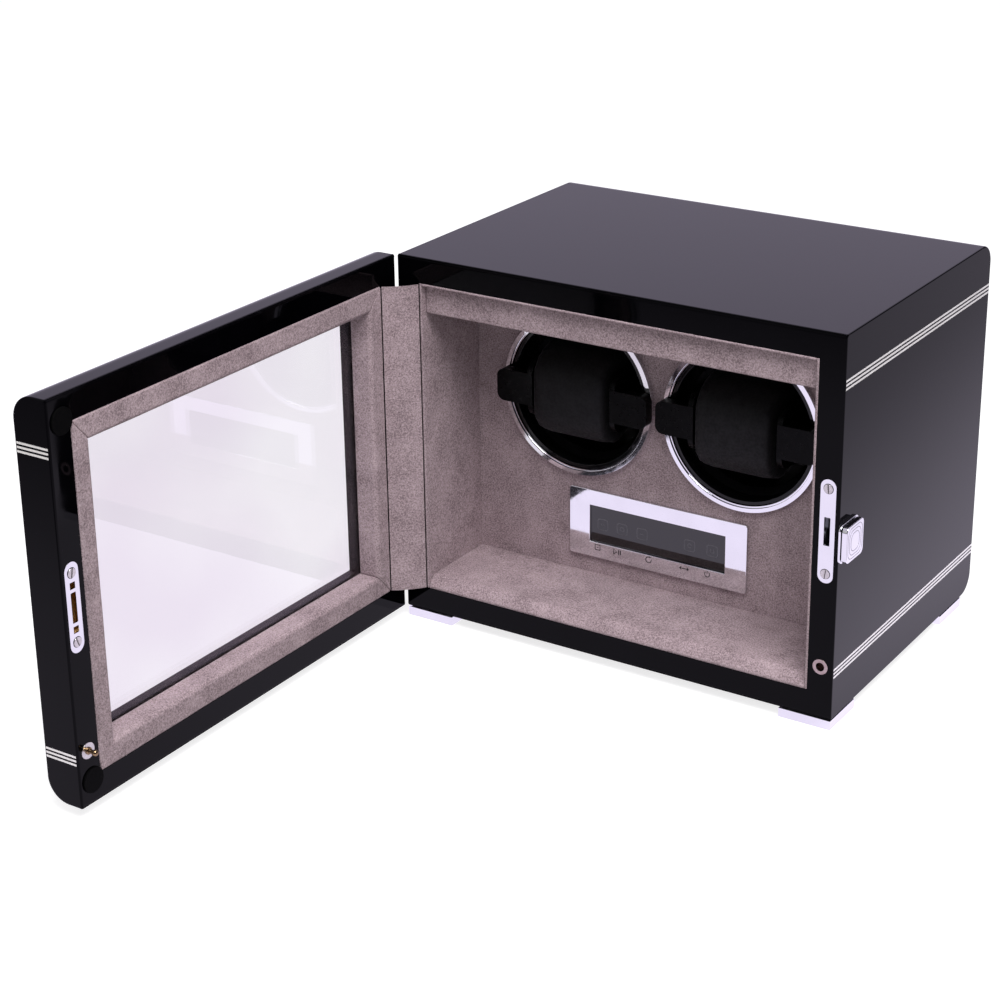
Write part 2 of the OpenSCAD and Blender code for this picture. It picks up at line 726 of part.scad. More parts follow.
// The holder's frame: two cheeks beside the cushion, a finger tab on each, and a bridge
// behind the cushion with the spigot and its key
module cradle(side) color(black_matt) in_case() translate([side * rotor_pitch / 2, 0, rotor_z]) {
  cheek_h = tab_h + 2 * cheek_over;
  for (s = [-1, 1]) {
    x0 = s > 0 ? cheek_x : -cheek_x - cheek_t;
    along_x(x0, x0 + cheek_t) translate([(tab_y + bridge_y + bridge_t) / 2, 0])
      rounded_rect(bridge_y + bridge_t - tab_y, cheek_h, cheek_corner);
    along_y(tab_y, tab_y + tab_t) intersection() {
      rounded_rect(tab_span, tab_h, tab_corner);
      translate([s > 0 ? cheek_x : -tab_span / 2, -tab_h / 2]) square([tab_span / 2 - cheek_x, tab_h]);
    }
  }
  block([-cheek_x - cheek_t, bridge_y, -8], [cheek_x + cheek_t, bridge_y + bridge_t, 8]);
  rod_y(0, 0, bridge_y + bridge_t - 0.5, hub_front_y + spigot_l, spigot_r);
  block([-key_w / 2, bridge_y + bridge_t - 0.5, 0], [key_w / 2, hub_front_y + spigot_l - 2, spigot_r + key_h]);
}

module cradle_left() cradle(-1);

module cradle_right() cradle(1);

// The watch cushion, an oval roll that lies across the holder
module cushion(side) color(black_matt) in_case()
  translate([side * rotor_pitch / 2, cushion_y, rotor_z]) along_x(-cushion_w / 2, cushion_w / 2) {
    for (z = [-1, 1]) translate([0, z * (cushion_h - cushion_d) / 2]) circle(cushion_d / 2);
    square([cushion_d, cushion_h - cushion_d], center = true);
  }

module cushion_left() cushion(-1);

module cushion_right() cushion(1);

// ---- drive ----

// A flanged belt pulley on a shaft that points forwards, moulded in one
module belt_pulley(x, z, path_r, rod_r, rod_y0) color(black_matt) in_case() turned(x, z) {
  translate([0, rod_y0]) square([rod_r, pulley_y - rod_y0 + 0.5]);
  translate([0, pulley_y]) square([path_r, pulley_l]);
  for (y = [pulley_y, pulley_y + pulley_l - flange_t]) translate([0, y]) square([path_r + flange_h, flange_t]);
}

module driven_pulley(side) belt_pulley(side * rotor_pitch / 2, rotor_z, driven_r, shaft_r, shaft_end_y + 0.1);

module driven_pulley_left() driven_pulley(-1);

module driven_pulley_right() driven_pulley(1);

module motor_pulley(side)
  belt_pulley(side * rotor_pitch / 2, motor_z, motor_pulley_r, motor_shaft_r, frame_y - motor_shaft_in + 0.3);

module motor_pulley_left() motor_pulley(-1);

module motor_pulley_right() motor_pulley(1);

module belt_loop(extra) hull() {
  translate([0, rotor_z]) circle(driven_r + extra, $fn = 96);
  translate([0, motor_z]) circle(motor_pulley_r + extra, $fn = 96);
}

module belt(side) color(black_matt) in_case() {
  y0 = pulley_y + (pulley_l - belt_w) / 2;
  translate([side * rotor_pitch / 2, 0, 0]) along_y(y0, y0 + belt_w) difference() {
    belt_loop(belt_slack + belt_t);
    belt_loop(belt_slack);
  }
}

module belt_left() belt(-1);

module belt_right() belt(1);

module motor_frame() color(black_matt) in_case() difference() {
  along_y(frame_y, frame_back_y)
    translate([0, (frame_z0 + frame_z1) / 2]) rounded_rect(frame_w, frame_z1 - frame_z0, 6);
  for (side = [-1, 1]) {
    x = side * rotor_pitch / 2;
    rod_y(x, rotor_z, 0, case_d, shaft_r + bush_wall + 0.02);
    rod_y(x, motor_z, 0, case_d, motor_boss_r + seat_fit);
    for (s = [-1, 1]) rod_y(x + s * motor_screw_x, motor_z, 0, case_d, motor_screw_r + seat_fit);
  }
  for (p = post_spots) rod_y(p[0], p[1], 0, case_d, post_stud_r + seat_fit);
}

// Posts between the rotor panel and the motor plate: a threaded end goes into the panel, and
// a screw from behind holds the plate
module frame_posts() color(steel) in_case() for (p = post_spots) {
  rod_y(p[0], p[1], panel_y + panel_t - post_stud_in, panel_y + panel_t, post_stud_r);
  difference() {
    rod_y(p[0], p[1], panel_y + panel_t, frame_y, post_r);
    rod_y(p[0], p[1], frame_y - post_screw_in - pilot_spare, frame_y + cut, post_stud_r + 0.02);
  }
  screw_facing_back(p[0], frame_back_y, p[1], 2.8, 2, post_stud_r, frame_t + post_screw_in);
}

module shaft_bushes() color(bronze) in_case() for (side = [-1, 1]) turned(side * rotor_pitch / 2, rotor_z) {
  translate([shaft_r + running_fit, frame_y - bush_flange_t]) square([bush_wall + 2.5, bush_flange_t]);
  translate([shaft_r + running_fit, frame_y - 0.5]) square([bush_wall - running_fit, frame_t + bush_tail + 0.5]);
}

module motor(side) color(steel) in_case() difference() {
  gearbox_l = motor_l * 0.45;
  turned(side * rotor_pitch / 2, motor_z) {
    translate([0, frame_y - gearbox_l]) square([motor_r, gearbox_l]);
    translate([0, frame_y - motor_l]) square([motor_r - 1.5, motor_l - 1]);
    translate([0, frame_y - 1]) square([motor_boss_r, frame_t]);
  }
  rod_y(side * rotor_pitch / 2, motor_z, frame_y - motor_shaft_in, case_d, motor_shaft_r + running_fit);
  for (s = [-1, 1])
    rod_y(side * rotor_pitch / 2 + s * motor_screw_x, motor_z, frame_y - motor_screw_in - pilot_spare, frame_y + cut,
      motor_screw_r + 0.02);
}

module motor_left() motor(-1);

module motor_right() motor(1);

module motor_screws() color(steel) in_case() for (side = [-1, 1]) for (s = [-1, 1])
  screw_facing_back(side * rotor_pitch / 2 + s * motor_screw_x, frame_back_y, motor_z, motor_head_r, motor_head_t, motor_screw_r,
    frame_t + motor_screw_in);

// ---- control panel ----

module control_plate() color(chrome) in_case() along_y(panel_y - plate_t, panel_y) translate([0, plate_z])
  difference() {
    rounded_rect(plate_w, plate_h, 1.6);
    square([window_w, window_h], center = true);
  }

module display_window() color(black_gloss) in_case()
  along_y(panel_y - plate_t + window_sunk, window_back_y)
    translate([0, plate_z]) square([window_w - 0.1, window_h - 0.1], center = true);

module display_module() color("#2c3036") in_case() along_y(window_back_y, panel_y + panel_t)
  translate([0, plate_z]) square([window_w - 2, window_h - 1], center = true);

module control_board() color("#1f4d2f") in_case() along_y(panel_y + panel_t, board_back_y)
  translate([0, plate_z]) square([board_w, board_h], center = true);

// ---- lock ----

module stadium(w, h) rounded_rect(w, h, w / 2 - 0.01);

module lock_mortise() {
  along_y(-cut, lock_plate_t - lock_proud)
    translate([lock_x, lock_z]) stadium(lock_plate_w + 2 * seat_fit, lock_plate_h + 2 * seat_fit);
  block([lock_x - lock_body_w / 2 - seat_fit, 0, lock_z - lock_body_h / 2 - seat_fit],
        [lock_x + lock_body_w / 2 + seat_fit, lock_plate_t - lock_proud + lock_body_d + seat_fit, lock_z + lock_body_h / 2 + seat_fit]);
  for (s = [-1, 1]) rod_y(lock_x, lock_z + s * lock_screw_z, 0, plate_screw_l + 2, wood_screw_r + 0.02);
  rod_x(knob_y, knob_z, lock_x, half_w + cut, spindle_r + seat_fit);
}

// A lock plate with rounded ends, seen from its face, with its slot and its two screw holes
module plate_face(w, h, screw_z, beside) difference() {
  stadium(w, h);
  rounded_rect(slot_w, slot_l, 0.4);
  for (s = [-1, 1]) {
    translate([0, s * screw_z]) circle(wood_screw_r + 0.3);
    if (beside > 0) translate([0, s * beside]) square([slot_w, slot_w], center = true);
  }
}

module lock_faceplate() color(chrome) in_case() along_y(-lock_proud, lock_plate_t - lock_proud)
  translate([lock_x, lock_z]) plate_face(lock_plate_w, lock_plate_h, lock_screw_z, 0);

module lock_screws() color(chrome) in_case() for (s = [-1, 1])
  screw_facing_front(lock_x, -lock_proud, lock_z + s * lock_screw_z, plate_head_r, plate_head_h, wood_screw_r, plate_screw_l);

// The lock's body: a flat steel box, open to the front, with a bore for the spindle on its outer side
module lock_case() color(steel) in_case() difference() {
  y0 = lock_plate_t - lock_proud;
  block([lock_x - lock_body_w / 2, y0, lock_z - lock_body_h / 2], [lock_x + lock_body_w / 2, y0 + lock_body_d, lock_z + lock_body_h / 2]);
  block([lock_x - lock_body_w / 2 + lock_skin, y0 - cut, lock_z - lock_body_h / 2 + 5],
        [lock_x + lock_body_w / 2 - lock_skin, y0 + lock_body_d - lock_skin, lock_z + lock_body_h / 2 - 5]);
  rod_x(knob_y, knob_z, lock_x, lock_x + lock_body_w, spindle_r + running_fit);
}

module lock_rosette() color(chrome) in_case() along_x(half_w, half_w + rosette_t) translate([knob_y, knob_z])
  difference() {
    rounded_rect(rosette_w, rosette_w, knob_corner);
    circle(spindle_r + seat_fit);
  }

// The square knob with its spindle, which ends in the hook's hub
module lock_knob() color(chrome) in_case() {
  x0 = half_w + rosette_t + knob_gap;
  along_x(x0, x0 + knob_t) translate([knob_y, knob_z]) rounded_rect(knob_w, knob_w, knob_corner);
  rod_x(knob_y, knob_z, lock_x - hook_t / 2, x0 + 0.5, spindle_r);
}

// The hook at rest: its arm stands up behind the front plate with the beak pointing forwards
module lock_hook() color(steel) in_case()
  along_x(lock_x - hook_t / 2, lock_x + hook_t / 2) translate([knob_y, knob_z]) difference() {
    union() {
      circle(hook_hub_r);
      translate([-hook_arm, 0]) square([2 * hook_arm, hook_reach]);
      translate([-hook_beak, hook_reach - hook_tip]) square([hook_beak + hook_arm, hook_tip]);
    }
    circle(spindle_r + 0.01);
  }

// ---- guide ----

module guide_socket_profile(fit, solid) {
  square_in = solid ? 0 : guide_hole_r;
  translate([square_in, -lock_proud]) square([guide_flange_r + fit - square_in, lock_proud + guide_flange_t]);
  translate([square_in, 0]) square([guide_hole_r + 0.8 + fit - square_in, guide_socket_l]);
  if (!solid) translate([0, guide_socket_l - 1]) square([guide_hole_r + 0.8, 1]);
}

module guide_socket() color(bronze) in_case() turned(guide_x, guide_z) guide_socket_profile(0, false);

module guide_pin() color(brass) open_door() turned(guide_x, guide_z) {
  neck_r = guide_r * 0.7;
  translate([0, door_in_y - guide_flange_t + 0.4]) square([guide_flange_r, guide_flange_t]);
  translate([0, door_in_y - guide_tail_l]) square([guide_tail_r, guide_tail_l]);
  translate([0, door_in_y - 0.1]) square([neck_r, guide_l - guide_r + 0.1]);
  intersection() {
    translate([0, door_in_y + guide_l - guide_r]) circle(guide_r);
    translate([0, door_in_y]) square([guide_r, guide_l]);
  }
}

// ---- feet ----

module feet() color(chrome) in_case() for (p = foot_spots) difference() {
  translate([p[0], p[1], 0]) union() {
    translate([-foot_w / 2, -foot_w / 2, -foot_h]) cube([foot_w, foot_w, foot_block_h]);
    translate([2 - foot_w / 2, 2 - foot_w / 2, -foot_gap - 0.5]) cube([foot_w - 4, foot_w - 4, foot_gap + 0.5]);
  }
  translate([p[0], p[1], -foot_h - cut]) cylinder(r = foot_screw_r + seat_fit, h = foot_h + 2 * cut);
  translate([p[0], p[1], -foot_h - cut]) cylinder(r = foot_head_r + seat_fit, h = foot_head_t + 0.4 + cut);
}

module foot_screws() color(steel) in_case() for (p = foot_spots)
  translate([p[0], p[1], -foot_h + foot_head_t + 0.4]) rotate([180, 0, 0])
    screw(foot_head_r, foot_head_t, foot_screw_r, foot_h - foot_head_t - 0.4 + foot_screw_in);

// ---- door ----

module door_frame() color(lacquer) open_door() difference() {
  along_x(-half_w, half_w) board_end(door_out_y, door_in_y, case_h, door_r, edge_r);
  block([-half_w + window_side, door_out_y - cut, window_end], [half_w - window_side, 0, case_h - window_end]);
  block([-half_w + wall_t, glass_out_y, wall_t], [half_w - wall_t, 0, case_h - wall_t]);
  side_lines(door_out_y + inlay_end, door_in_y - inlay_end);
  hinge_mortise(door_in_y, -1);
  leaf_pilots(door_in_y - leaf_t - leaf_screw_l - pilot_spare, 0);
  strike_mortise();
  rod_y(guide_x, guide_z, door_in_y - guide_tail_l - 0.3, 0, guide_tail_r + 0.02);
  rod_y(guide_x, guide_z, door_in_y - guide_flange_t + 0.4, 0, guide_flange_r + seat_fit);
  for (z = [bumper_end, case_h - bumper_end])
    rod_y(bumper_x, z, door_in_y - bumper_sunk, 0, bumper_r + seat_fit);
}

module door_inlays() color(silver_inlay) open_door() side_lines(door_out_y + inlay_end, door_in_y - inlay_end);

module door_glass() color("#cfd8dc", 0.35) open_door()
  block([-half_w + glass_edge, glass_out_y, glass_edge], [half_w - glass_edge, glass_in_y, case_h - glass_edge]);

// One side of the padded frame: it lies between two mitres, with its outer edge on the wood
module pad_bar(outer_a, outer_b, inner_b, inner_a) along_y(glass_in_y, door_in_y + pad_proud)
  polygon([outer_a, outer_b, inner_b, inner_a]);

module door_pad_frame() color(suede) open_door() difference() {
  xo = half_w - glass_edge;
  xi = half_w - window_side;
  z0 = glass_edge;
  z1 = window_end;
  union() {
    pad_bar([-xo, z0], [xo, z0], [xi, z1], [-xi, z1]);
    pad_bar([-xo, case_h - z0], [xo, case_h - z0], [xi, case_h - z1], [-xi, case_h - z1]);
    pad_bar([-xo, z0], [-xo, case_h - z0], [-xi, case_h - z1], [-xi, z1]);
    pad_bar([xo, z0], [xo, case_h - z0], [xi, case_h - z1], [xi, z1]);
  }
  for (z = [bumper_end, case_h - bumper_end])
    rod_y(bumper_x, z, door_in_y - bumper_sunk - 0.5, cut, bumper_r + 0.3);
}

module door_bumpers() color(black_matt) open_door() for (z = [bumper_end, case_h - bumper_end])
  rod_y(bumper_x, z, door_in_y - bumper_sunk, door_in_y + bumper_proud, bumper_r);

module strike_mortise() {
  along_y(door_in_y - lock_plate_t + lock_proud, 0)
    translate([lock_x, lock_z]) stadium(strike_w + 2 * seat_fit, strike_h + 2 * seat_fit);
  block([lock_x - strike_box_w / 2 - seat_fit, door_in_y - lock_plate_t + lock_proud - strike_box_d - seat_fit, lock_z - strike_box_h / 2 - seat_fit],
        [lock_x + strike_box_w / 2 + seat_fit, 0, lock_z + strike_box_h / 2 + seat_fit]);
  for (s = [-1, 1]) rod_y(lock_x, lock_z + s * strike_screw_z, door_in_y - plate_screw_l - 2, 0, wood_screw_r + 0.02);
}

module strike_plate() color(chrome) open_door()
  along_y(door_in_y - lock_plate_t + lock_proud, door_in_y + lock_proud)
    translate([lock_x, lock_z]) plate_face(strike_w, strike_h, strike_screw_z, slot_l / 2 + 3.4);

module strike_screws() color(chrome) open_door() for (s = [-1, 1])
  screw_facing_back(lock_x, door_in_y + lock_proud, lock_z + s * strike_screw_z, plate_head_r, plate_head_h, wood_screw_r, plate_screw_l);

// The brass box behind the strike plate, which the hook reaches into
module strike_box() color(brass) open_door() difference() {
  y1 = door_in_y - lock_plate_t + lock_proud;
  block([lock_x - strike_box_w / 2, y1 - strike_box_d, lock_z - strike_box_h / 2], [lock_x + strike_box_w / 2, y1, lock_z + strike_box_h / 2]);
  block([lock_x - strike_box_w / 2 + strike_skin, y1 - strike_box_d + strike_skin, lock_z - strike_box_h / 2 + strike_skin],
        [lock_x + strike_box_w / 2 - strike_skin, y1 + cut, lock_z + strike_box_h / 2 - strike_skin]);
}

case_shell();
case_inlays();
back_cover();
back_cover_screws();
power_inlet();
wiring();
liner_left();
liner_right();
liner_ceiling();
liner_floor();
valance();
rotor_panel();
ring_left();
ring_right();
drum_left();
drum_right();
cradle_left();
cradle_right();
cushion_left();
cushion_right();
driven_pulley_left();
driven_pulley_right();
motor_frame();
frame_posts();
shaft_bushes();
motor_left();
motor_right();
motor_screws();
motor_pulley_left();
motor_pulley_right();
belt_left();
belt_right();
control_plate();
display_window();
display_module();
control_board();
lock_faceplate();
lock_screws();
lock_case();
lock_rosette();
lock_knob();
lock_hook();
guide_socket();
feet();
foot_screws();
hinge_case_leaf();
hinge_case_screws();
hinge_web();
hinge_door_leaf();
hinge_door_screws();
hinge_pin();
door_frame();
door_inlays();
door_glass();
door_pad_frame();
strike_plate();
strike_screws();
strike_box();
guide_pin();
door_bumpers();
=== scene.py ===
import math

import bmesh
import bpy
from mathutils import Matrix, Quaternion, Vector, noise


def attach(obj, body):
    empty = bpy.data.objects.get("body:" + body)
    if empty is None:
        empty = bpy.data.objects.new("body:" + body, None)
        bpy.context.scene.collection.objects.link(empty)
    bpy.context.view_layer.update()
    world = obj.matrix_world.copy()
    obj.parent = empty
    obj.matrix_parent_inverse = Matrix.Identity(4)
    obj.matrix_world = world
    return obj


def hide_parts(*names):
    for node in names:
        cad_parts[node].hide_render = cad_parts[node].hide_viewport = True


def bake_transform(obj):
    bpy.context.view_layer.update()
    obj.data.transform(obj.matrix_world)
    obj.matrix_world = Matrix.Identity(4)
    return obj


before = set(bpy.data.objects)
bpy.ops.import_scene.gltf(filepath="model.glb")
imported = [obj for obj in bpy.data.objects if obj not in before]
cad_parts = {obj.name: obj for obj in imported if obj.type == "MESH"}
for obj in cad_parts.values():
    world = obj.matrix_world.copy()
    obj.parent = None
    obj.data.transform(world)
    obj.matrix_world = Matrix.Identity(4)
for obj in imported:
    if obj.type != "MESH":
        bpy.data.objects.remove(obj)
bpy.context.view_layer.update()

bpy.ops.object.select_all(action="DESELECT")

# ---- Studio ----
# A white sheet under the box and a pale backdrop behind it. The room is dark beyond the near end
# of the sheet and above the box's right. A large soft lamp hangs over the camera's right side
# and a weak one fills in from its left.

FLOOR_HALF = 7.0
FLOOR_LIGHT = 0.78
FLOOR_PAINT = 0.45
SHEET_IN_METAL = (1.44, 1.32, 1.62)
SHEET_THROUGH_GLASS = 0.97
SHEET_END, SHEET_WHOLE, SHEET_DARK = -0.75, -0.42, 0.3
BESIDE_FROM, BESIDE_TO, BESIDE_DIM = 0.11, 0.16, 0.71
RIGHT_FROM, RIGHT_TO, RIGHT_DIM = 0.13, 0.34, 0.42
BACKDROP = (1.02, 0.92, 1.19)
BEHIND_FROM, BEHIND_TO = -0.25, 0.3
CARD_FROM, CARD_TO, CARD_LEVEL = 0.0, 0.22, 0.08
CEILING_FROM, CEILING_TO, CEILING_LEVEL = 0.45, 0.9, 0.6
RISE_FROM, RISE_TO, RISE_LEVEL = 0.2, 0.38, 0.8
DARK_ROOM = (0.03, 0.028, 0.036)
ROOM_COLOUR, ROOM_LIGHT = (0.97, 0.97, 1), 0.385
LAMPS = (("key", (0.7, -0.75, 1.75), 1.1, 41.5), ("fill", (-0.9, -1.5, 0.8), 1.4, 3))
LAMPS_AIM = (0, -0.1, 0.1)

bpy.ops.mesh.primitive_plane_add(size=2 * FLOOR_HALF)
floor = bpy.context.object
floor.name = "studio_floor"

floor_paint = bpy.data.materials.new("studio_floor")
floor_paint.use_nodes = True
tree = floor_paint.node_tree
tree.nodes.clear()


def add_node(tree, kind, **inputs):
    """A node with some of its sockets set, named with underscores for spaces."""
    node = tree.nodes.new(kind)
    for socket, value in inputs.items():
        node.inputs[socket.replace("_", " ")].default_value = value
    return node


def add_math(tree, operation, first, second):
    """A Math node. Each side is a number or another node's output."""
    node = tree.nodes.new("ShaderNodeMath")
    node.operation = operation
    node.use_clamp = True
    for socket, side in zip(node.inputs, (first, second)):
        if isinstance(side, bpy.types.NodeSocket):
            tree.links.new(side, socket)
        else:
            socket.default_value = side
    return node.outputs[0]


def add_range(tree, value, low, high, to_low, to_high):
    """A smooth step of a value from one range to another."""
    node = tree.nodes.new("ShaderNodeMapRange")
    node.interpolation_type = "SMOOTHSTEP"
    tree.links.new(value, node.inputs["Value"])
    for socket, number in zip(("From Min", "From Max", "To Min", "To Max"), (low, high, to_low, to_high)):
        node.inputs[socket].default_value = number
    return node.outputs["Result"]


def add_light(tree, kind, colour, strength):
    """A light shader, whose strength is a number or another node's output."""
    light = add_node(tree, kind, Color=(*colour, 1))
    if isinstance(strength, bpy.types.NodeSocket):
        tree.links.new(strength, light.inputs["Strength"])
    else:
        light.inputs["Strength"].default_value = strength
    return light.outputs[0]


def mix_light(tree, factor, first, second):
    """One light shader or the other, by the kind of ray."""
    mix = tree.nodes.new("ShaderNodeMixShader")
    for socket, source in zip(mix.inputs, (factor, first, second)):
        tree.links.new(source, socket)
    return mix.outputs[0]


rays = tree.nodes.new("ShaderNodeLightPath").outputs
where = tree.nodes.new("ShaderNodeSeparateXYZ")
tree.links.new(tree.nodes.new("ShaderNodeTexCoord").outputs["Object"], where.inputs[0])
near_end = add_range(tree, where.outputs["Y"], SHEET_END, SHEET_WHOLE, SHEET_DARK, 1.0)
past_side = add_range(tree, where.outputs["X"], BESIDE_FROM, BESIDE_TO, BESIDE_DIM, 1.0)
to_right = add_range(tree, where.outputs["X"], RIGHT_FROM, RIGHT_TO, 1.0, RIGHT_DIM)
pattern = add_math(tree, "MULTIPLY", near_end, add_math(tree, "MULTIPLY", past_side, to_right))
in_metal = add_light(tree, "ShaderNodeEmission", SHEET_IN_METAL, pattern)
in_glass = add_light(tree, "ShaderNodeEmission", (1, 1, 1),
                     add_math(tree, "MULTIPLY", near_end, SHEET_THROUGH_GLASS))
for_eye = add_light(tree, "ShaderNodeEmission", (1, 0.995, 1),
                    add_math(tree, "MULTIPLY", rays["Is Camera Ray"], FLOOR_LIGHT))
paint = add_node(tree, "ShaderNodeBsdfDiffuse", Color=(FLOOR_PAINT, FLOOR_PAINT, FLOOR_PAINT, 1))
plain = tree.nodes.new("ShaderNodeAddShader")
tree.links.new(for_eye, plain.inputs[0])
tree.links.new(paint.outputs[0], plain.inputs[1])
surface = mix_light(tree, rays["Is Glossy Ray"], plain.outputs[0], in_metal)
surface = mix_light(tree, rays["Is Transmission Ray"], surface, in_glass)
tree.links.new(surface, tree.nodes.new("ShaderNodeOutputMaterial").inputs["Surface"])
floor.data.materials.append(floor_paint)

room = bpy.data.worlds.new("studio")
bpy.context.scene.world = room
room.use_nodes = True
tree = room.node_tree
tree.nodes.clear()
rays = tree.nodes.new("ShaderNodeLightPath").outputs
where = tree.nodes.new("ShaderNodeSeparateXYZ")
tree.links.new(tree.nodes.new("ShaderNodeTexCoord").outputs["Generated"], where.inputs[0])
behind = add_range(tree, where.outputs["Y"], BEHIND_FROM, BEHIND_TO, 0.0, 1.0)
left_of_card = add_range(tree, where.outputs["X"], CARD_FROM, CARD_TO, 1.0, CARD_LEVEL)
ceiling = add_range(tree, where.outputs["Z"], CEILING_FROM, CEILING_TO, 0.0, CEILING_LEVEL)
rising = add_range(tree, where.outputs["Z"], RISE_FROM, RISE_TO, RISE_LEVEL, 1.0)
backdrop = add_math(tree, "MULTIPLY", add_math(tree, "MULTIPLY", behind, left_of_card), rising)
lit_part = add_math(tree, "ADD", backdrop, ceiling)
in_metal = mix_light(tree, lit_part, add_light(tree, "ShaderNodeBackground", DARK_ROOM, 1.0),
                     add_light(tree, "ShaderNodeBackground", BACKDROP, 1.0))
seen = add_math(tree, "ADD", rays["Is Camera Ray"], rays["Is Transmission Ray"])
surface = add_light(tree, "ShaderNodeBackground", ROOM_COLOUR, ROOM_LIGHT)
surface = mix_light(tree, rays["Is Glossy Ray"], surface, in_metal)
surface = mix_light(tree, seen, surface, add_light(tree, "ShaderNodeBackground", (1, 1, 1), 1.0))
tree.links.new(surface, tree.nodes.new("ShaderNodeOutputWorld").inputs["Surface"])

for lamp_name, spot, size, power in LAMPS:
    lamp = bpy.data.lights.new("lamp_" + lamp_name, "AREA")
    lamp.size = size
    lamp.energy = power
    stand = bpy.data.objects.new("lamp_" + lamp_name, lamp)
    stand.location = spot
    stand.rotation_euler = (Vector(LAMPS_AIM) - Vector(spot)).to_track_quat("-Z", "Y").to_euler()
    bpy.context.scene.collection.objects.link(stand)

AZIMUTH, ELEVATION, ROLL = (math.radians(angle) for angle in (31.834, 20.814, -0.234))
CAMERA_PLACE = (0.52951, -0.98849, 0.53588)
LENS, SENSOR = 80.472, 36
SHIFT_X, SHIFT_Y = -0.06, -0.08
camera = bpy.data.objects.new("camera", bpy.data.cameras.new("camera"))
camera.data.lens = LENS
camera.data.sensor_width = SENSOR
camera.data.shift_x = SHIFT_X
camera.data.shift_y = SHIFT_Y
camera.data.clip_end = 50
level = math.cos(ELEVATION)
to_camera = Vector((math.sin(AZIMUTH) * level, -math.cos(AZIMUTH) * level, math.sin(ELEVATION)))
camera.location = CAMERA_PLACE
camera.rotation_euler = ((-to_camera).to_track_quat("-Z", "Y") @ Quaternion((0, 0, 1), ROLL)).to_euler()
bpy.context.scene.collection.objects.link(camera)
bpy.context.scene.camera = camera
bpy.context.scene.view_settings.view_transform = "Standard"

# ---- Case ----
# A box of board with a thick black gloss lacquer, rounded along the top and bottom of its back.
# Its end edges are eased before lacquering, so that each catches a thin line of light.

CASE_HALF, CASE_HEIGHT, CASE_DEPTH = 127.5, 200.0, 179.0
FOOT_HEIGHT = 6.0
FRONT_ROUND, BACK_ROUND = 1.2, 11.0
EDGE_EASED = 0.9


def metres(*millimetres):
    """A vector in metres from sizes in millimetres."""
    return Vector(millimetres) / 1000


IN_CASE = Matrix.Translation(metres(0, -CASE_DEPTH / 2, FOOT_HEIGHT))


def choose_pieces(*pieces):
    """Makes these pieces the only selected ones, and the first of them the active one."""
    bpy.ops.object.select_all(action="DESELECT")
    for piece in pieces:
        piece.select_set(True)
    bpy.context.view_layer.objects.active = pieces[0]


def open_up(piece):
    """Puts one piece alone in edit mode, with nothing selected."""
    choose_pieces(piece)
    bpy.ops.object.mode_set(mode="EDIT")
    bpy.ops.mesh.select_mode(type="EDGE")
    bpy.ops.mesh.select_all(action="DESELECT")


def choose_edges(piece, wanted):
    """Selects those edges of a piece in edit mode that pass a test."""
    shape = bmesh.from_edit_mesh(piece.data)
    for edge in shape.edges:
        if wanted(edge):
            edge.select_set(True)
    bmesh.update_edit_mesh(piece.data)


def apply_modifier(piece, kind, **settings):
    """Adds a modifier to a piece and makes it part of the mesh."""
    choose_pieces(piece)
    modifier = piece.modifiers.new(kind.lower(), kind)
    for setting, value in settings.items():
        setattr(modifier, setting, value)
    bpy.ops.object.modifier_apply(modifier=modifier.name)


def ease_edges(piece, width, segments=2, sharper_than=35):
    """Rounds all edges of a piece that are sharper than an angle."""
    apply_modifier(piece, "BEVEL", width=width / 1000, segments=segments, limit_method="ANGLE",
                   angle_limit=math.radians(sharper_than), harden_normals=False)


def machined(name, node, drawing=Matrix.Identity(4)):
    """A piece with the exact shape of a CAD node, made whole so that its edges can be worked on.
    It is brought back to its drawing, where its faces lie square."""
    piece = bpy.data.objects.new(name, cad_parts[node].data.copy())
    bpy.context.scene.collection.objects.link(piece)
    piece.data.transform(drawing.inverted())
    open_up(piece)
    bpy.ops.mesh.select_all(action="SELECT")
    bpy.ops.mesh.customdata_custom_splitnormals_clear()
    bpy.ops.mesh.remove_doubles(threshold=2e-6)
    bpy.ops.mesh.dissolve_limited(angle_limit=math.radians(0.4))
    bpy.ops.object.mode_set(mode="OBJECT")
    return piece


def settle(piece, material, slot, body, *replaced, drawing=Matrix.Identity(4), smooth=32):
    """Puts a finished piece in its place, shades it, and says what it rides on and stands for."""
    piece.data.transform(drawing)
    choose_pieces(piece)
    bpy.ops.object.shade_smooth_by_angle(angle=math.radians(smooth))
    apply_modifier(piece, "WEIGHTED_NORMAL", keep_sharp=True, weight=60)
    piece.data.materials.clear()
    piece.data.materials.append(material)
    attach(piece, body)
    if replaced:
        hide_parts(*replaced)


def plain_finish(name, colour, roughness, **sockets):
    """A material with its constant values on the shader's own sockets."""
    material = bpy.data.materials.new(name)
    material.use_nodes = True
    shader = material.node_tree.nodes["Principled BSDF"]
    shader.inputs["Base Color"].default_value = (*colour, 1)
    shader.inputs["Roughness"].default_value = roughness
    for socket, value in sockets.items():
        shader.inputs[socket.replace("_", " ")].default_value = value
    return material, material.node_tree, shader


def grain(tree, size, detail=2.0, stretch=(1, 1, 1), roughness=0.5):
    """Noise whose features are about size millimetres across, in the piece's own coordinates."""
    place = tree.nodes.new("ShaderNodeMapping")
    place.inputs["Scale"].default_value = stretch
    tree.links.new(tree.nodes.new("ShaderNodeTexCoord").outputs["Object"], place.inputs["Vector"])
    cloud = add_node(tree, "ShaderNodeTexNoise", Scale=1000 / size, Detail=detail, Roughness=roughness)
    tree.links.new(place.outputs[0], cloud.inputs["Vector"])
    return cloud.outputs["Fac"]


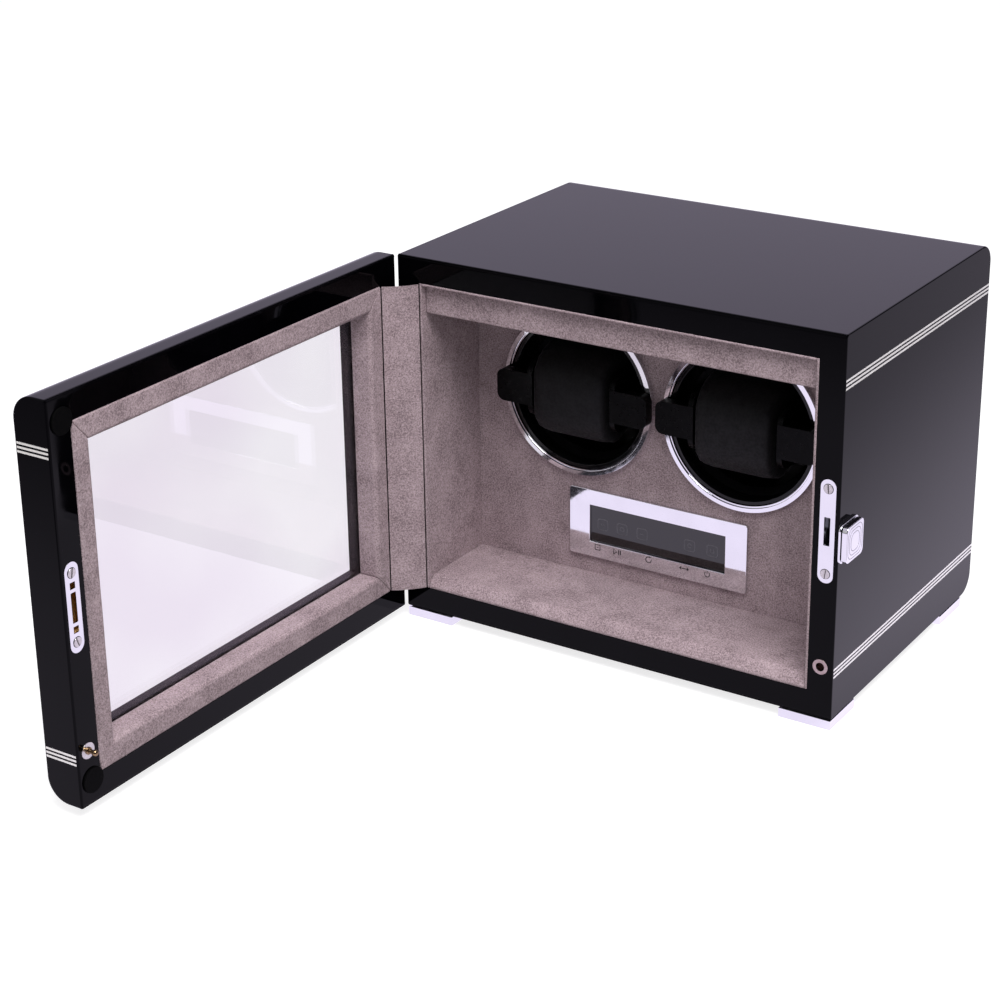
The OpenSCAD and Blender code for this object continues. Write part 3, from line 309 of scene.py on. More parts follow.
def tint(tree, shader, value, low, high, start=0.3, end=0.7):
    """Colours a surface between two shades."""
    ramp = tree.nodes.new("ShaderNodeValToRGB")
    ramp.color_ramp.elements[0].position = start
    ramp.color_ramp.elements[1].position = end
    ramp.color_ramp.elements[0].color = (*low, 1)
    ramp.color_ramp.elements[1].color = (*high, 1)
    tree.links.new(value, ramp.inputs["Fac"])
    tree.links.new(ramp.outputs["Color"], shader.inputs["Base Color"])


def polish(tree, shader, value, low, high):
    """Varies how rough a surface is."""
    tree.links.new(add_range(tree, value, 0.3, 0.7, low, high), shader.inputs["Roughness"])


def relief(tree, shader, value, height, strength):
    """Gives a surface fine relief, height millimetres deep."""
    bump = add_node(tree, "ShaderNodeBump", Strength=strength, Distance=height / 1000)
    tree.links.new(value, bump.inputs["Height"])
    tree.links.new(bump.outputs["Normal"], shader.inputs["Normal"])


def dress(material, *nodes):
    """Gives CAD nodes whose shape is right their finish."""
    for node in nodes:
        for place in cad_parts[node].material_slots:
            place.material = material


lacquer, tree, shader = plain_finish("lacquer", (0.0006, 0.00055, 0.0009), 0.03, IOR=1.18)
tint(tree, shader, grain(tree, 40), (0.0004, 0.0004, 0.0007), (0.0008, 0.0007, 0.0012))
polish(tree, shader, grain(tree, 12, 4), 0.018, 0.05)
relief(tree, shader, grain(tree, 9, 1), 0.003, 0.2)


def on_outline(y, z, front, back, front_round, back_round):
    """Whether a point of the end view lies on the board's outline."""
    for edge_y, radius, inwards in ((front, front_round, 1), (back, back_round, -1)):
        for edge_z, up in ((0, 1), (CASE_HEIGHT, -1)):
            from_y, from_z = (y - edge_y) * inwards, (z - edge_z) * up
            if from_y < radius and from_z < radius:
                return abs(math.hypot(radius - from_y, radius - from_z) - radius) < 0.02
    return min(abs(y - front), abs(y - back), abs(z), abs(z - CASE_HEIGHT)) < 0.02


def ease_ends(piece, front, back, front_round, back_round):
    """Rounds the edges round both end faces of a lacquered board, in its drawing."""
    open_up(piece)

    def is_end_edge(edge):
        return all(
            abs(abs(v.co.x) * 1000 - CASE_HALF) < 0.02
            and on_outline(v.co.y * 1000, v.co.z * 1000, front, back, front_round, back_round)
            for v in edge.verts
        ) and any(abs(face.normal.x) < 0.5 for face in edge.link_faces)

    choose_edges(piece, is_end_edge)
    bpy.ops.mesh.bevel(offset=EDGE_EASED / 1000, segments=3, affect="EDGES", clamp_overlap=False)
    bpy.ops.object.mode_set(mode="OBJECT")
    for point in piece.data.vertices:
        point.co.y = min(max(point.co.y, front / 1000), back / 1000)
        point.co.z = min(max(point.co.z, 0), CASE_HEIGHT / 1000)


case_body = machined("case_body", "case_shell", IN_CASE)
ease_ends(case_body, 0, CASE_DEPTH, FRONT_ROUND, BACK_ROUND)
settle(case_body, lacquer, "lacquer", "case", "case_shell", drawing=IN_CASE)

# ---- Inlaid lines of the case ----
# Groups of three thin pale metal lines in each side, near the top and the bottom. They are let
# into the wood and rubbed flush with the lacquer.

inlay, tree, shader = plain_finish("inlay", (0.93, 0.9, 0.85), 0.22, Metallic=0.2,
                                   Coat_Weight=0.6, Coat_Roughness=0.04)
tint(tree, shader, grain(tree, 1.2, 3, (1, 0.08, 1)), (0.86, 0.83, 0.78), (0.98, 0.96, 0.92))
relief(tree, shader, grain(tree, 0.5, 2, (1, 0.05, 1)), 0.01, 0.3)
dress(inlay, "case_inlays")

# ---- Back cover and power inlet ----
# A black painted steel plate over the drive, held by six pan-head screws, with the low-voltage
# socket clamped through it.

matt_black, tree, shader = plain_finish("matt_black", (0.018, 0.018, 0.02), 0.55)
tint(tree, shader, grain(tree, 6, 3), (0.014, 0.014, 0.016), (0.022, 0.022, 0.025))
relief(tree, shader, grain(tree, 0.5, 3), 0.02, 0.5)
polish(tree, shader, grain(tree, 3), 0.45, 0.62)
steel, tree, shader = plain_finish("steel", (0.55, 0.56, 0.58), 0.28, Metallic=1.0)
tint(tree, shader, grain(tree, 2, 3), (0.48, 0.49, 0.51), (0.6, 0.61, 0.63))
polish(tree, shader, grain(tree, 1, 3, (1, 8, 1)), 0.2, 0.38)
relief(tree, shader, grain(tree, 0.3, 2, (1, 6, 1)), 0.004, 0.4)

back_plate = machined("back_plate", "back_cover", IN_CASE)
ease_edges(back_plate, 0.35)
settle(back_plate, matt_black, "matt_black", "case", "back_cover", drawing=IN_CASE)
dress(steel, "back_cover_screws")
dress(matt_black, "power_inlet")

# ---- Feet ----
# Four square blocks of polished, plated metal, each with a narrower neck that keeps it off the
# wood. They are screwed on from below.

polished_metal, tree, shader = plain_finish("polished_metal", (0.8, 0.805, 0.825), 0.05, Metallic=1.0)
tint(tree, shader, grain(tree, 15, 3), (0.78, 0.785, 0.805), (0.82, 0.825, 0.845))
polish(tree, shader, grain(tree, 4, 4), 0.03, 0.075)
relief(tree, shader, grain(tree, 14, 1), 0.003, 0.2)

foot_blocks = machined("foot_blocks", "feet", IN_CASE)
ease_edges(foot_blocks, 0.25)
settle(foot_blocks, polished_metal, "polished_metal", "case", "feet", drawing=IN_CASE)
dress(steel, "foot_screws")

# ---- Drive ----
# Behind the winder panel, gear motors hang on a plate that stands off on posts. Rubber belts run
# over black pulleys in bronze bushes, and wires lead to the board behind the panel's window.

bronze, tree, shader = plain_finish("bronze", (0.45, 0.25, 0.17), 0.25, Metallic=1.0)
tint(tree, shader, grain(tree, 1.5, 3), (0.36, 0.2, 0.14), (0.52, 0.3, 0.21))
polish(tree, shader, grain(tree, 1, 2), 0.14, 0.32)
rubber, tree, shader = plain_finish("rubber", (0.012, 0.012, 0.013), 0.7)
tint(tree, shader, grain(tree, 2, 3), (0.009, 0.009, 0.01), (0.017, 0.017, 0.018))
relief(tree, shader, grain(tree, 0.4, 2), 0.02, 0.5)
circuit_board, tree, shader = plain_finish("circuit_board", (0.01, 0.09, 0.035), 0.35, Coat_Weight=0.3)
tint(tree, shader, grain(tree, 1.5, 1), (0.008, 0.06, 0.025), (0.015, 0.12, 0.05), 0.45, 0.55)
relief(tree, shader, grain(tree, 1.5, 1), 0.03, 0.5)
wire_cover, tree, shader = plain_finish("wire_cover", (0.12, 0.012, 0.012), 0.42)
tint(tree, shader, grain(tree, 3, 2), (0.09, 0.008, 0.008), (0.14, 0.016, 0.016))
relief(tree, shader, grain(tree, 0.6, 2), 0.01, 0.4)

dress(matt_black, "motor_frame", "driven_pulley_left", "driven_pulley_right",
      "motor_pulley_left", "motor_pulley_right")
dress(steel, "frame_posts", "motor_left", "motor_right", "motor_screws")
dress(bronze, "shaft_bushes")
dress(rubber, "belt_left", "belt_right")
dress(circuit_board, "control_board")
dress(wire_cover, "wiring")
dress(matt_black, "display_module")

# ---- Lining ----
# Thin boards wrapped in taupe suede: one for each side and the ceiling, a padded one on the
# floor that slopes down at the front, and a strip that hangs behind the top of the opening.

OPENING_HALF, OPENING_LOW, OPENING_TOP = 113.9, 13.6, 186.4
LINER = 1.4
LIP = 0.25
PANEL_FACE = 52.0
ROOM_HALF, ROOM_TOP = OPENING_HALF - LINER, OPENING_TOP - LINER
FLOOR_PAD = 6.7
FLOOR_SLOPE = 4.0
FLOOR_ROLL = 2.2
FLOOR_PUFF, PUFF_PER_METRE = 0.35, 28
CUTS_ACROSS, CUTS_DEEP = 60, 12
VALANCE_FRONT, VALANCE_BACK, VALANCE_HEIGHT = 3.6, 6.6, 15.5
BOARD_EASED = 0.55
NAP, BRUSHED, BRUSHED_SHARE = 0.8, 18, 0.24

suede, tree, shader = plain_finish("suede", (0.34, 0.256, 0.28), 0.95, Sheen_Weight=0.08,
                                   Sheen_Roughness=0.4, Specular_IOR_Level=0.15)
shader.inputs["Sheen Tint"].default_value = (1, 0.9, 0.94, 1)
nap = tree.nodes.new("ShaderNodeMix")
nap.data_type = "FLOAT"
nap.inputs["Factor"].default_value = BRUSHED_SHARE
tree.links.new(grain(tree, NAP, 3, roughness=0.8), nap.inputs["A"])
tree.links.new(grain(tree, BRUSHED, 4, roughness=0.65), nap.inputs["B"])
tint(tree, shader, nap.outputs["Result"], (0.15, 0.108, 0.12), (0.515, 0.4, 0.43), 0.37, 0.63)
relief(tree, shader, grain(tree, 0.6, 3, roughness=0.7), 0.16, 0.5)


def block(name, low, high):
    """A plain block between two corners."""
    bpy.ops.mesh.primitive_cube_add(size=1, location=(low + high) / 2, scale=high - low)
    bpy.ops.object.transform_apply(location=True, rotation=False, scale=True)
    piece = bpy.context.object
    piece.name = name
    return piece


def suede_board(name, node, low, high, rounding=BOARD_EASED):
    """A board wrapped in suede, with soft edges all round."""
    board = block(name, metres(*low), metres(*high))
    ease_edges(board, rounding, 3)
    settle(board, suede, "suede", "case", node, drawing=IN_CASE, smooth=40)


for side, x0 in (("left", -OPENING_HALF), ("right", OPENING_HALF - LINER)):
    suede_board(f"lining_{side}", f"liner_{side}", (x0, -LIP, OPENING_LOW),
                (x0 + LINER, PANEL_FACE, OPENING_TOP))
suede_board("lining_ceiling", "liner_ceiling", (-ROOM_HALF, -LIP, ROOM_TOP),
            (ROOM_HALF, PANEL_FACE, OPENING_TOP))
suede_board("lining_valance", "valance", (-ROOM_HALF, VALANCE_FRONT, ROOM_TOP - VALANCE_HEIGHT),
            (ROOM_HALF, VALANCE_BACK, ROOM_TOP), 0.9)

low, high = metres(-ROOM_HALF, -LIP, OPENING_LOW), metres(ROOM_HALF, PANEL_FACE, OPENING_LOW + FLOOR_PAD)
floor_pad = block("lining_floor", low, high)
open_up(floor_pad)
choose_edges(floor_pad, lambda e: all(v.co.z > high.z - 1e-5 and v.co.y < low.y + 1e-5 for v in e.verts))
bpy.ops.mesh.bevel(offset=FLOOR_SLOPE / 1000, segments=1, affect="EDGES", clamp_overlap=False)
shape = bmesh.from_edit_mesh(floor_pad.data)
for corner in shape.verts:
    if corner.co.y < low.y + 1e-5 and corner.co.z > low.z + 1e-5:
        corner.co.z = low.z + LINER / 1000
bmesh.update_edit_mesh(floor_pad.data)
bpy.ops.mesh.select_all(action="DESELECT")
choose_edges(floor_pad, lambda e: all(v.co.z > high.z - 1e-5 and v.co.y < high.y - 1e-3 for v in e.verts))
bpy.ops.mesh.bevel(offset=FLOOR_ROLL / 1000, segments=5, affect="EDGES", clamp_overlap=False)
bpy.ops.object.mode_set(mode="OBJECT")
ease_edges(floor_pad, 0.5, 2)
open_up(floor_pad)
choose_edges(floor_pad, lambda e: abs(e.verts[0].co.x - e.verts[1].co.x) > 0.1)
bpy.ops.mesh.subdivide(number_cuts=CUTS_ACROSS)
bpy.ops.mesh.select_all(action="DESELECT")
choose_edges(floor_pad, lambda e: abs(e.verts[0].co.y - e.verts[1].co.y) > 0.02)
bpy.ops.mesh.subdivide(number_cuts=CUTS_DEEP)
bpy.ops.object.mode_set(mode="OBJECT")
for point in floor_pad.data.vertices:
    if point.co.z > low.z + 0.001 and point.co.y > low.y + 0.0005:
        point.co.z += FLOOR_PUFF / 1000 * (noise.noise(point.co * PUFF_PER_METRE) - 0.4)
settle(floor_pad, suede, "suede", "case", "liner_floor", drawing=IN_CASE, smooth=60)

panel_board = machined("winder_panel", "rotor_panel", IN_CASE)
ease_edges(panel_board, 0.4)
settle(panel_board, suede, "suede", "case", "rotor_panel", drawing=IN_CASE)

# ---- Winder rings and drums ----
# A plated ring with a broad face and a thin inner step is pressed into the panel round each
# drum. The drums are glossy black mouldings, stepped inside, with a hub for the holder.

gloss_black, tree, shader = plain_finish("gloss_black", (0.002, 0.002, 0.0024), 0.06, IOR=1.35)
tint(tree, shader, grain(tree, 20, 2), (0.0015, 0.0015, 0.0018), (0.003, 0.003, 0.0035))
polish(tree, shader, grain(tree, 5, 3), 0.04, 0.1)
relief(tree, shader, grain(tree, 10, 1), 0.01, 0.25)

for side in ("left", "right"):
    dress(polished_metal, f"ring_{side}")
    drum = machined(f"winder_drum_{side}", f"drum_{side}", IN_CASE)
    ease_edges(drum, 0.3)
    settle(drum, gloss_black, "gloss_black", f"rotor_{side}", f"drum_{side}", drawing=IN_CASE)

# ---- Watch holders ----
# A satin black frame with a finger tab at each side carries a plump cushion, which the watch
# strap is closed around. The cushion's cover is black and sewn shut at both ends.

satin_black, tree, shader = plain_finish("satin_black", (0.0012, 0.0012, 0.0014), 0.3, IOR=1.17)
tint(tree, shader, grain(tree, 8, 2), (0.0009, 0.0009, 0.0011), (0.0016, 0.0016, 0.0019))
polish(tree, shader, grain(tree, 2, 3), 0.26, 0.4)
relief(tree, shader, grain(tree, 0.4, 2), 0.008, 0.4)
cushion_cover, tree, shader = plain_finish("cushion_cover", (0.0045, 0.0045, 0.005), 0.6, IOR=1.3,
                                           Sheen_Weight=0.08, Sheen_Roughness=0.35)
shader.inputs["Sheen Tint"].default_value = (0.5, 0.5, 0.54, 1)
tint(tree, shader, grain(tree, 5, 3), (0.003, 0.003, 0.0035), (0.0062, 0.0062, 0.007))
polish(tree, shader, grain(tree, 1.2, 3), 0.5, 0.72)
relief(tree, shader, grain(tree, 0.7, 3), 0.12, 0.6)

ROTOR_X, ROTOR_Z = 48.6, 122.0
CUSHION_MIDDLE_Y = 57.0
CUSHION_START = 0.93
CUSHION_MESH = 2.8
CUSHION_PRESSURE, CUSHION_STEPS, CUSHION_SWELL = 4, 15, 1.1
SEAM_X, SEAM_HALF, SEAM_DEEP = 17.5, 1.6, 1.1

for side, sign in (("left", -1), ("right", 1)):
    frame_moulding = machined(f"holder_frame_{side}", f"cradle_{side}", IN_CASE)
    ease_edges(frame_moulding, 0.7, 3)
    settle(frame_moulding, satin_black, "matt_black", f"holder_{side}", f"cradle_{side}", drawing=IN_CASE)

    cushion = machined(f"watch_cushion_{side}", f"cushion_{side}", IN_CASE)
    middle = metres(sign * ROTOR_X, CUSHION_MIDDLE_Y, ROTOR_Z)
    cushion.data.transform(Matrix.Translation(-middle))
    cushion.data.transform(Matrix.Diagonal((CUSHION_START, CUSHION_START, CUSHION_START, 1)))
    apply_modifier(cushion, "REMESH", mode="VOXEL", voxel_size=CUSHION_MESH / 1000)
    before = [point.co.copy() for point in cushion.data.vertices]
    cloth = cushion.modifiers.new("stuffing", "CLOTH")
    cloth.settings.use_pressure = True
    cloth.settings.uniform_pressure_force = CUSHION_PRESSURE
    cloth.settings.effector_weights.gravity = 0
    for step in range(1, CUSHION_STEPS + 1):
        bpy.context.scene.frame_set(step)
    bpy.ops.object.modifier_apply(modifier=cloth.name)
    bpy.context.scene.frame_set(1)
    for point, start in zip(cushion.data.vertices, before):
        moved = point.co - start
        if moved.length > CUSHION_SWELL / 1000:
            point.co = start + moved.normalized() * CUSHION_SWELL / 1000
    for point in cushion.data.vertices:
        for seam in (-SEAM_X / 1000, SEAM_X / 1000):
            pinch = max(0.0, 1 - abs(point.co.x - seam) / (SEAM_HALF / 1000))
            radial = Vector((0, point.co.y, point.co.z))
            point.co -= radial.normalized() * (SEAM_DEEP / 1000) * pinch
    apply_modifier(cushion, "SUBSURF", levels=1, render_levels=1)
    cushion.data.transform(Matrix.Translation(middle))
    settle(cushion, cushion_cover, "cushion_cover", f"holder_{side}", f"cushion_{side}",
           drawing=IN_CASE, smooth=180)

# ---- Control panel ----
# A mirror-plated plate with a dark window, behind which five touch keys show faintly. Small
# black enamel marks under the window say what each key does.

PLATE_FACE = 50.0
PLATE_Z = 49.6
WINDOW_FACE = 51.2
KEY_X = (-33.5, -21.5, -9.2, 19.5, 33)
KEY_HALF, KEY_CORNER = 3.1, 1.4
KEY_LINE, KEY_PRESSED = 0.64, 0.08
MARK_X = (-36.1, -23.9, -4.5, 17.1, 30.9)
MARK_Z = PLATE_Z - 13.3
MARK_SCALE = 1.5
MARK_LINE, MARK_PRESSED = 0.54, 0.15

plate = machined("control_plate_polished", "control_plate", IN_CASE)
ease_edges(plate, 0.35, 3)
settle(plate, polished_metal, "polished_metal", "case", "control_plate", drawing=IN_CASE)

smoked_glass, tree, shader = plain_finish("smoked_glass", (0.0006, 0.0006, 0.0008), 0.03, IOR=1.65)
tint(tree, shader, grain(tree, 20, 2), (0.0004, 0.0004, 0.0005), (0.0008, 0.0008, 0.001))
window = machined("display_window_glass", "display_window", IN_CASE)
ease_edges(window, 0.12)
settle(window, smoked_glass, "gloss_black", "case", "display_window", drawing=IN_CASE)


def arc(radius, start, end, middle=(0, 0), steps=18):
    """Points of an arc, in millimetres, between two angles in degrees."""
    return [
        (middle[0] + radius * math.cos(math.radians(start + (end - start) * i / steps)),
         middle[1] + radius * math.sin(math.radians(start + (end - start) * i / steps)))
        for i in range(steps + 1)
    ]


def rounded_square(half, corner):
    """A closed outline with round corners."""
    centre = half - corner
    line = []
    for quarter, (side, up) in enumerate(((1, 1), (-1, 1), (-1, -1), (1, -1))):
        line += arc(corner, 90 * quarter, 90 * quarter + 90, (side * centre, up * centre), 8)
    return line + line[:1]


def drawn_lines(name, lines, thickness):
    """Thin rounded strokes along lines of points, in millimetres, as one mesh."""
    strokes = bpy.data.curves.new(name, "CURVE")
    strokes.dimensions = "3D"
    strokes.bevel_depth = thickness / 2000
    strokes.bevel_resolution = 1
    strokes.use_fill_caps = True
    for line in lines:
        spline = strokes.splines.new("POLY")
        spline.points.add(len(line) - 1)
        for point, place in zip(spline.points, line):
            point.co = (*metres(*place), 1)
    piece = bpy.data.objects.new(name, strokes)
    bpy.context.scene.collection.objects.link(piece)
    choose_pieces(piece)
    bpy.ops.object.convert(target="MESH")
    return bpy.context.object


def flatten(piece, axis, level, share):
    """Presses drawn strokes down onto the face that they are printed on."""
    for point in piece.data.vertices:
        point.co[axis] = level / 1000 + (point.co[axis] - level / 1000) * share


key_print, tree, shader = plain_finish("key_print", (0.035, 0.035, 0.039), 0.12, IOR=1.65)
tint(tree, shader, grain(tree, 3, 2), (0.03, 0.03, 0.034), (0.04, 0.04, 0.044))
KEY_SIGNS = (
    [(-1, -0.9), (-1, 0.9), (0.9, 0), (-1, -0.9)],
    rounded_square(1.1, 0.4),
    [(-1.3, 0), (1.3, 0)],
    arc(1.1, 20, 320),
    arc(1.1, 125, 415),
)
key_lines = []
for key_x, key_sign in zip(KEY_X, KEY_SIGNS):
    for line in (rounded_square(KEY_HALF, KEY_CORNER), key_sign):
        key_lines.append([(key_x + x, WINDOW_FACE, PLATE_Z + z) for x, z in line])
touch_keys = drawn_lines("touch_keys", key_lines, KEY_LINE)
flatten(touch_keys, 1, WINDOW_FACE, KEY_PRESSED)
settle(touch_keys, key_print, "gloss_black", "case", drawing=IN_CASE)

# Black enamel for the printed key marks. The same material draws the painted shade in the screw slots and
# round the screw heads.
enamel_and_painted_shade, tree, shader = plain_finish("enamel_and_painted_shade", (0.004, 0.004, 0.005), 0.4, IOR=1.3)
tint(tree, shader, grain(tree, 1, 2), (0.003, 0.003, 0.004), (0.006, 0.006, 0.007))
MARKS = (
    ([(-1, -1), (1, -1), (1, 1), (-1, 1), (-1, -1)], [(-0.4, 0), (0.4, 0)]),
    ([(-1.4, -0.9), (-1.4, 0.9), (0, 0), (-1.4, -0.9)], [(0.6, -0.9), (0.6, 0.9)], [(1.4, -0.9), (1.4, 0.9)]),
    (arc(1.1, 60, 370), [(0.4, 1.5), (0.55, 0.95), (1.1, 1.2)]),
    ([(-1.8, 0), (1.8, 0)], [(-1.1, 0.6), (-1.8, 0), (-1.1, -0.6)], [(1.1, 0.6), (1.8, 0), (1.1, -0.6)]),
    (arc(1, 125, 415), [(0, 0.3), (0, 1.3)]),
)
mark_lines = []
for mark_x, mark in zip(MARK_X, MARKS):
    for line in mark:
        mark_lines.append([(mark_x + MARK_SCALE * x, PLATE_FACE, MARK_Z + MARK_SCALE * z) for x, z in line])
key_marks = drawn_lines("key_marks", mark_lines, MARK_LINE)
flatten(key_marks, 1, PLATE_FACE, MARK_PRESSED)
settle(key_marks, enamel_and_painted_shade, "gloss_black", "case", drawing=IN_CASE)

# ---- Lock ----
# A plated front plate with two slotted screws, behind it a flat steel lock body with a hook,
# and on the side of the case a square knob over its rose, engraved with plain rounded lines.

KNOB_Y, KNOB_Z = 9.5, 94.2
KNOB_FACE, LINE_RAISED = 132.0, 0.1
KNOB_LINES = ((8.0, 4.2), (6.4, 4.0), (4.7, 3.6))
KNOB_LINE, KNOB_PRESSED = 0.4, 0.3
LOCK_X, LOCK_Z = 121.3, 100.1
LOCK_SCREW_Z, LOCK_SCREW_TURNS = 22.15, (85, 97)
LOCK_SCREW_FACE, LOCK_SLOT_FLOOR = -0.3, -0.47
HEAD_R, HEAD_EASED = 2.48, 0.06
SLOT_HALF, SLOT_LINE, SLOT_PRESSED = 2.1, 0.42, 0.25
SLOT_DEEPER, SLOT_SUNK = 0.15, 0.04


def turn_screws(piece, spacing, slot_floor, deeper, upper, lower):
    """Cuts the slots of two screws deeper and turns each to the angle at which it was left."""
    for point in piece.data.vertices:
        if abs(point.co.y * 1000 - slot_floor) < 0.03:
            point.co.y += deeper / 1000
        above = point.co.z * 1000 > LOCK_Z
        middle = metres(LOCK_X, 0, LOCK_Z + (spacing if above else -spacing))
        turn = Matrix.Rotation(math.radians(upper if above else lower), 3, "Y")
        point.co = turn @ (point.co - middle) + middle


for name, node in (("lock_front_plate", "lock_faceplate"), ("knob_rose", "lock_rosette")):
    piece = machined(name, node, IN_CASE)
    ease_edges(piece, 0.3)
    settle(piece, polished_metal, "polished_metal", "case", node, drawing=IN_CASE)
hook = machined("lock_hook_filed", "lock_hook", IN_CASE)
ease_edges(hook, 0.2)
settle(hook, steel, "steel", "lock_turn", "lock_hook", drawing=IN_CASE)
nickel, tree, shader = plain_finish("nickel", (0.6, 0.58, 0.56), 0.25, Metallic=1.0)
tint(tree, shader, grain(tree, 1.5, 3), (0.52, 0.5, 0.48), (0.66, 0.64, 0.62))
polish(tree, shader, grain(tree, 0.8, 2), 0.18, 0.32)
lock_screws = machined("lock_screws_driven", "lock_screws", IN_CASE)
turn_screws(lock_screws, LOCK_SCREW_Z, LOCK_SLOT_FLOOR, SLOT_DEEPER, *LOCK_SCREW_TURNS)
ease_edges(lock_screws, HEAD_EASED)
settle(lock_screws, nickel, "polished_metal", "case", "lock_screws", drawing=IN_CASE)
dress(steel, "lock_case")


def painted_slot_shade(spacing, face, slot_floor, upper, lower):
    """Painted shade: a dark stroke in the slot of each screw and a dark ring in the fine gap round its head.
    """
    lines = []
    for end, angle in ((1, math.radians(upper)), (-1, math.radians(lower))):
        z, across, up = LOCK_Z + end * spacing, math.cos(angle), -math.sin(angle)
        lines.append([(LOCK_X + t * across, slot_floor, z + t * up) for t in (-SLOT_HALF, SLOT_HALF)])
        lines.append([(LOCK_X + x, face, z + y) for x, y in arc(HEAD_R, 0, 360, steps=40)])
    return lines


# Painted shade: near-black strokes in the lock screws' slots and round their heads stand in for the shade
# there.
lock_painted_shade = drawn_lines(
    "lock_screw_painted_shade",
    painted_slot_shade(LOCK_SCREW_Z, LOCK_SCREW_FACE, LOCK_SCREW_FACE - SLOT_SUNK, *LOCK_SCREW_TURNS),
    SLOT_LINE,
)
flatten(lock_painted_shade, 1, LOCK_SCREW_FACE, SLOT_PRESSED)
settle(lock_painted_shade, enamel_and_painted_shade, "gloss_black", "case", drawing=IN_CASE)

knob = machined("square_knob", "lock_knob", IN_CASE)
for point in knob.data.vertices:
    point.co.x = min(point.co.x, (KNOB_FACE - LINE_RAISED) / 1000)
ease_edges(knob, 0.35, 3)
settle(knob, polished_metal, "polished_metal", "lock_turn", "lock_knob", drawing=IN_CASE)
# The knob's lines are drawn on its face in a darker, duller metal. This is partly the cut metal's own finish
# and partly painted shade standing in for the engraved grooves.
engraving_and_painted_shade, tree, shader = plain_finish("engraving_and_painted_shade", (0.3, 0.29, 0.34), 0.4, Metallic=0.6)
tint(tree, shader, grain(tree, 1, 2), (0.25, 0.24, 0.29), (0.36, 0.35, 0.4))
knob_lines = [
    [(KNOB_FACE - LINE_RAISED, KNOB_Y + y, KNOB_Z + z) for y, z in rounded_square(half, corner)]
    for half, corner in KNOB_LINES
]
knob_pattern = drawn_lines("knob_pattern", knob_lines, KNOB_LINE)
flatten(knob_pattern, 0, KNOB_FACE - LINE_RAISED, KNOB_PRESSED)
settle(knob_pattern, engraving_and_painted_shade, "polished_metal", "lock_turn", drawing=IN_CASE)

# ---- Guide socket ----
# A turned ring of rose-coloured metal, pressed into the case's front. The door's pin slides
# into it, so that the door shuts level.

socket_ring = machined("guide_socket_ring", "guide_socket", IN_CASE)
ease_edges(socket_ring, 0.25)
rose_metal, tree, shader = plain_finish("rose_metal", (0.42, 0.33, 0.31), 0.22, Metallic=1.0)
tint(tree, shader, grain(tree, 1.5, 2), (0.36, 0.28, 0.26), (0.47, 0.38, 0.36))
settle(socket_ring, rose_metal, "bronze", "case", "guide_socket", drawing=IN_CASE)

# ---- Hinge ----
# A steel piano hinge, let into both lacquered edges, and the suede web glued over it from the
# lining to the door's padded frame.

WEB_FROM, WEB_TO = (-113.95, -90.35), (-127.65, -103.45)
WEB_LOW, WEB_HIGH = 20.2, 191.8
WEB_BOW = 1.0
WEB_THICK = 0.8

dress(steel, "hinge_case_leaf", "hinge_case_screws", "hinge_door_leaf", "hinge_door_screws", "hinge_pin")

bpy.ops.mesh.primitive_grid_add(x_subdivisions=16, y_subdivisions=60, size=1)
web = bpy.context.object
web.name = "hinge_cover"
along = Vector((WEB_TO[0] - WEB_FROM[0], WEB_TO[1] - WEB_FROM[1]))
outwards = Vector((-along.y, along.x)).normalized()
for point in web.data.vertices:
    across, up = point.co.x + 0.5, point.co.y + 0.5
    bow = WEB_BOW * 4 * across * (1 - across)
    x, y = Vector(WEB_FROM) + along * across + outwards * bow
    point.co = metres(x, y, WEB_LOW + (WEB_HIGH - WEB_LOW) * up)
apply_modifier(web, "SOLIDIFY", thickness=WEB_THICK / 1000, offset=0)
web.data.materials.clear()
web.data.materials.append(suede)
open_up(web)
bpy.ops.mesh.select_all(action="SELECT")
bpy.ops.mesh.normals_make_consistent(inside=False)
bpy.ops.object.mode_set(mode="OBJECT")
bpy.ops.object.shade_smooth_by_angle(angle=math.radians(50))
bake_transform(web)
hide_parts("hinge_web")

# ---- Door ----
# A lacquered frame, rounded along the outside of its top and bottom, with the same inlaid
# lines in its edges and a pane of clear glass let in from the inside.

DOOR_GAP, DOOR_THICK, DOOR_ROUND = 1.2, 20.5, 12.0
HINGE_X, HINGE_Y = -127.6, -0.6
TO_HINGE = Matrix.Translation(metres(HINGE_X, HINGE_Y, 0))
IN_DOOR = IN_CASE @ TO_HINGE @ Matrix.Rotation(math.radians(-90), 4, "Z") @ TO_HINGE.inverted()

door_body = machined("door_body", "door_frame", IN_DOOR)
ease_ends(door_body, -DOOR_GAP - DOOR_THICK, -DOOR_GAP, DOOR_ROUND, FRONT_ROUND)
settle(door_body, lacquer, "lacquer", "door", "door_frame", drawing=IN_DOOR)
dress(inlay, "door_inlays")

glass, tree, shader = plain_finish("glass", (0.95, 0.91, 0.98), 0.0, Transmission_Weight=1.0, IOR=1.45)
# Painted reflection and shade: a slow noise makes the pane's tint paler in places and darker and pinker in
# others.
tint(tree, shader, grain(tree, 90, 1), (0.86, 0.79, 0.9), (0.97, 0.94, 1.0))
polish(tree, shader, grain(tree, 30, 2), 0.0, 0.012)
dress(glass, "door_glass")

# ---- Padded frame round the glass ----
# Four padded bars wrapped in suede and mitred at the corners. Each is flat on the door's
# face, rolls over a soft edge and goes down to the glass.

PAD_OUTER, PAD_INNER = 113.7, 103.1
PAD_OUTER_Z, PAD_INNER_Z = 13.8, 25.8
PAD_TOP, PAD_FOOT = -0.6, -13.2
CREST, OUTER_EDGE, MITRE = 2.4, 0.9, 0.7
BAR_CUTS = 28
PAD_UNEVEN, UNEVEN_PER_METRE = 0.2, 35
REST_PAD_X, REST_PAD_Z, REST_PAD_ROOM = 119.1, 12.0, 6.7


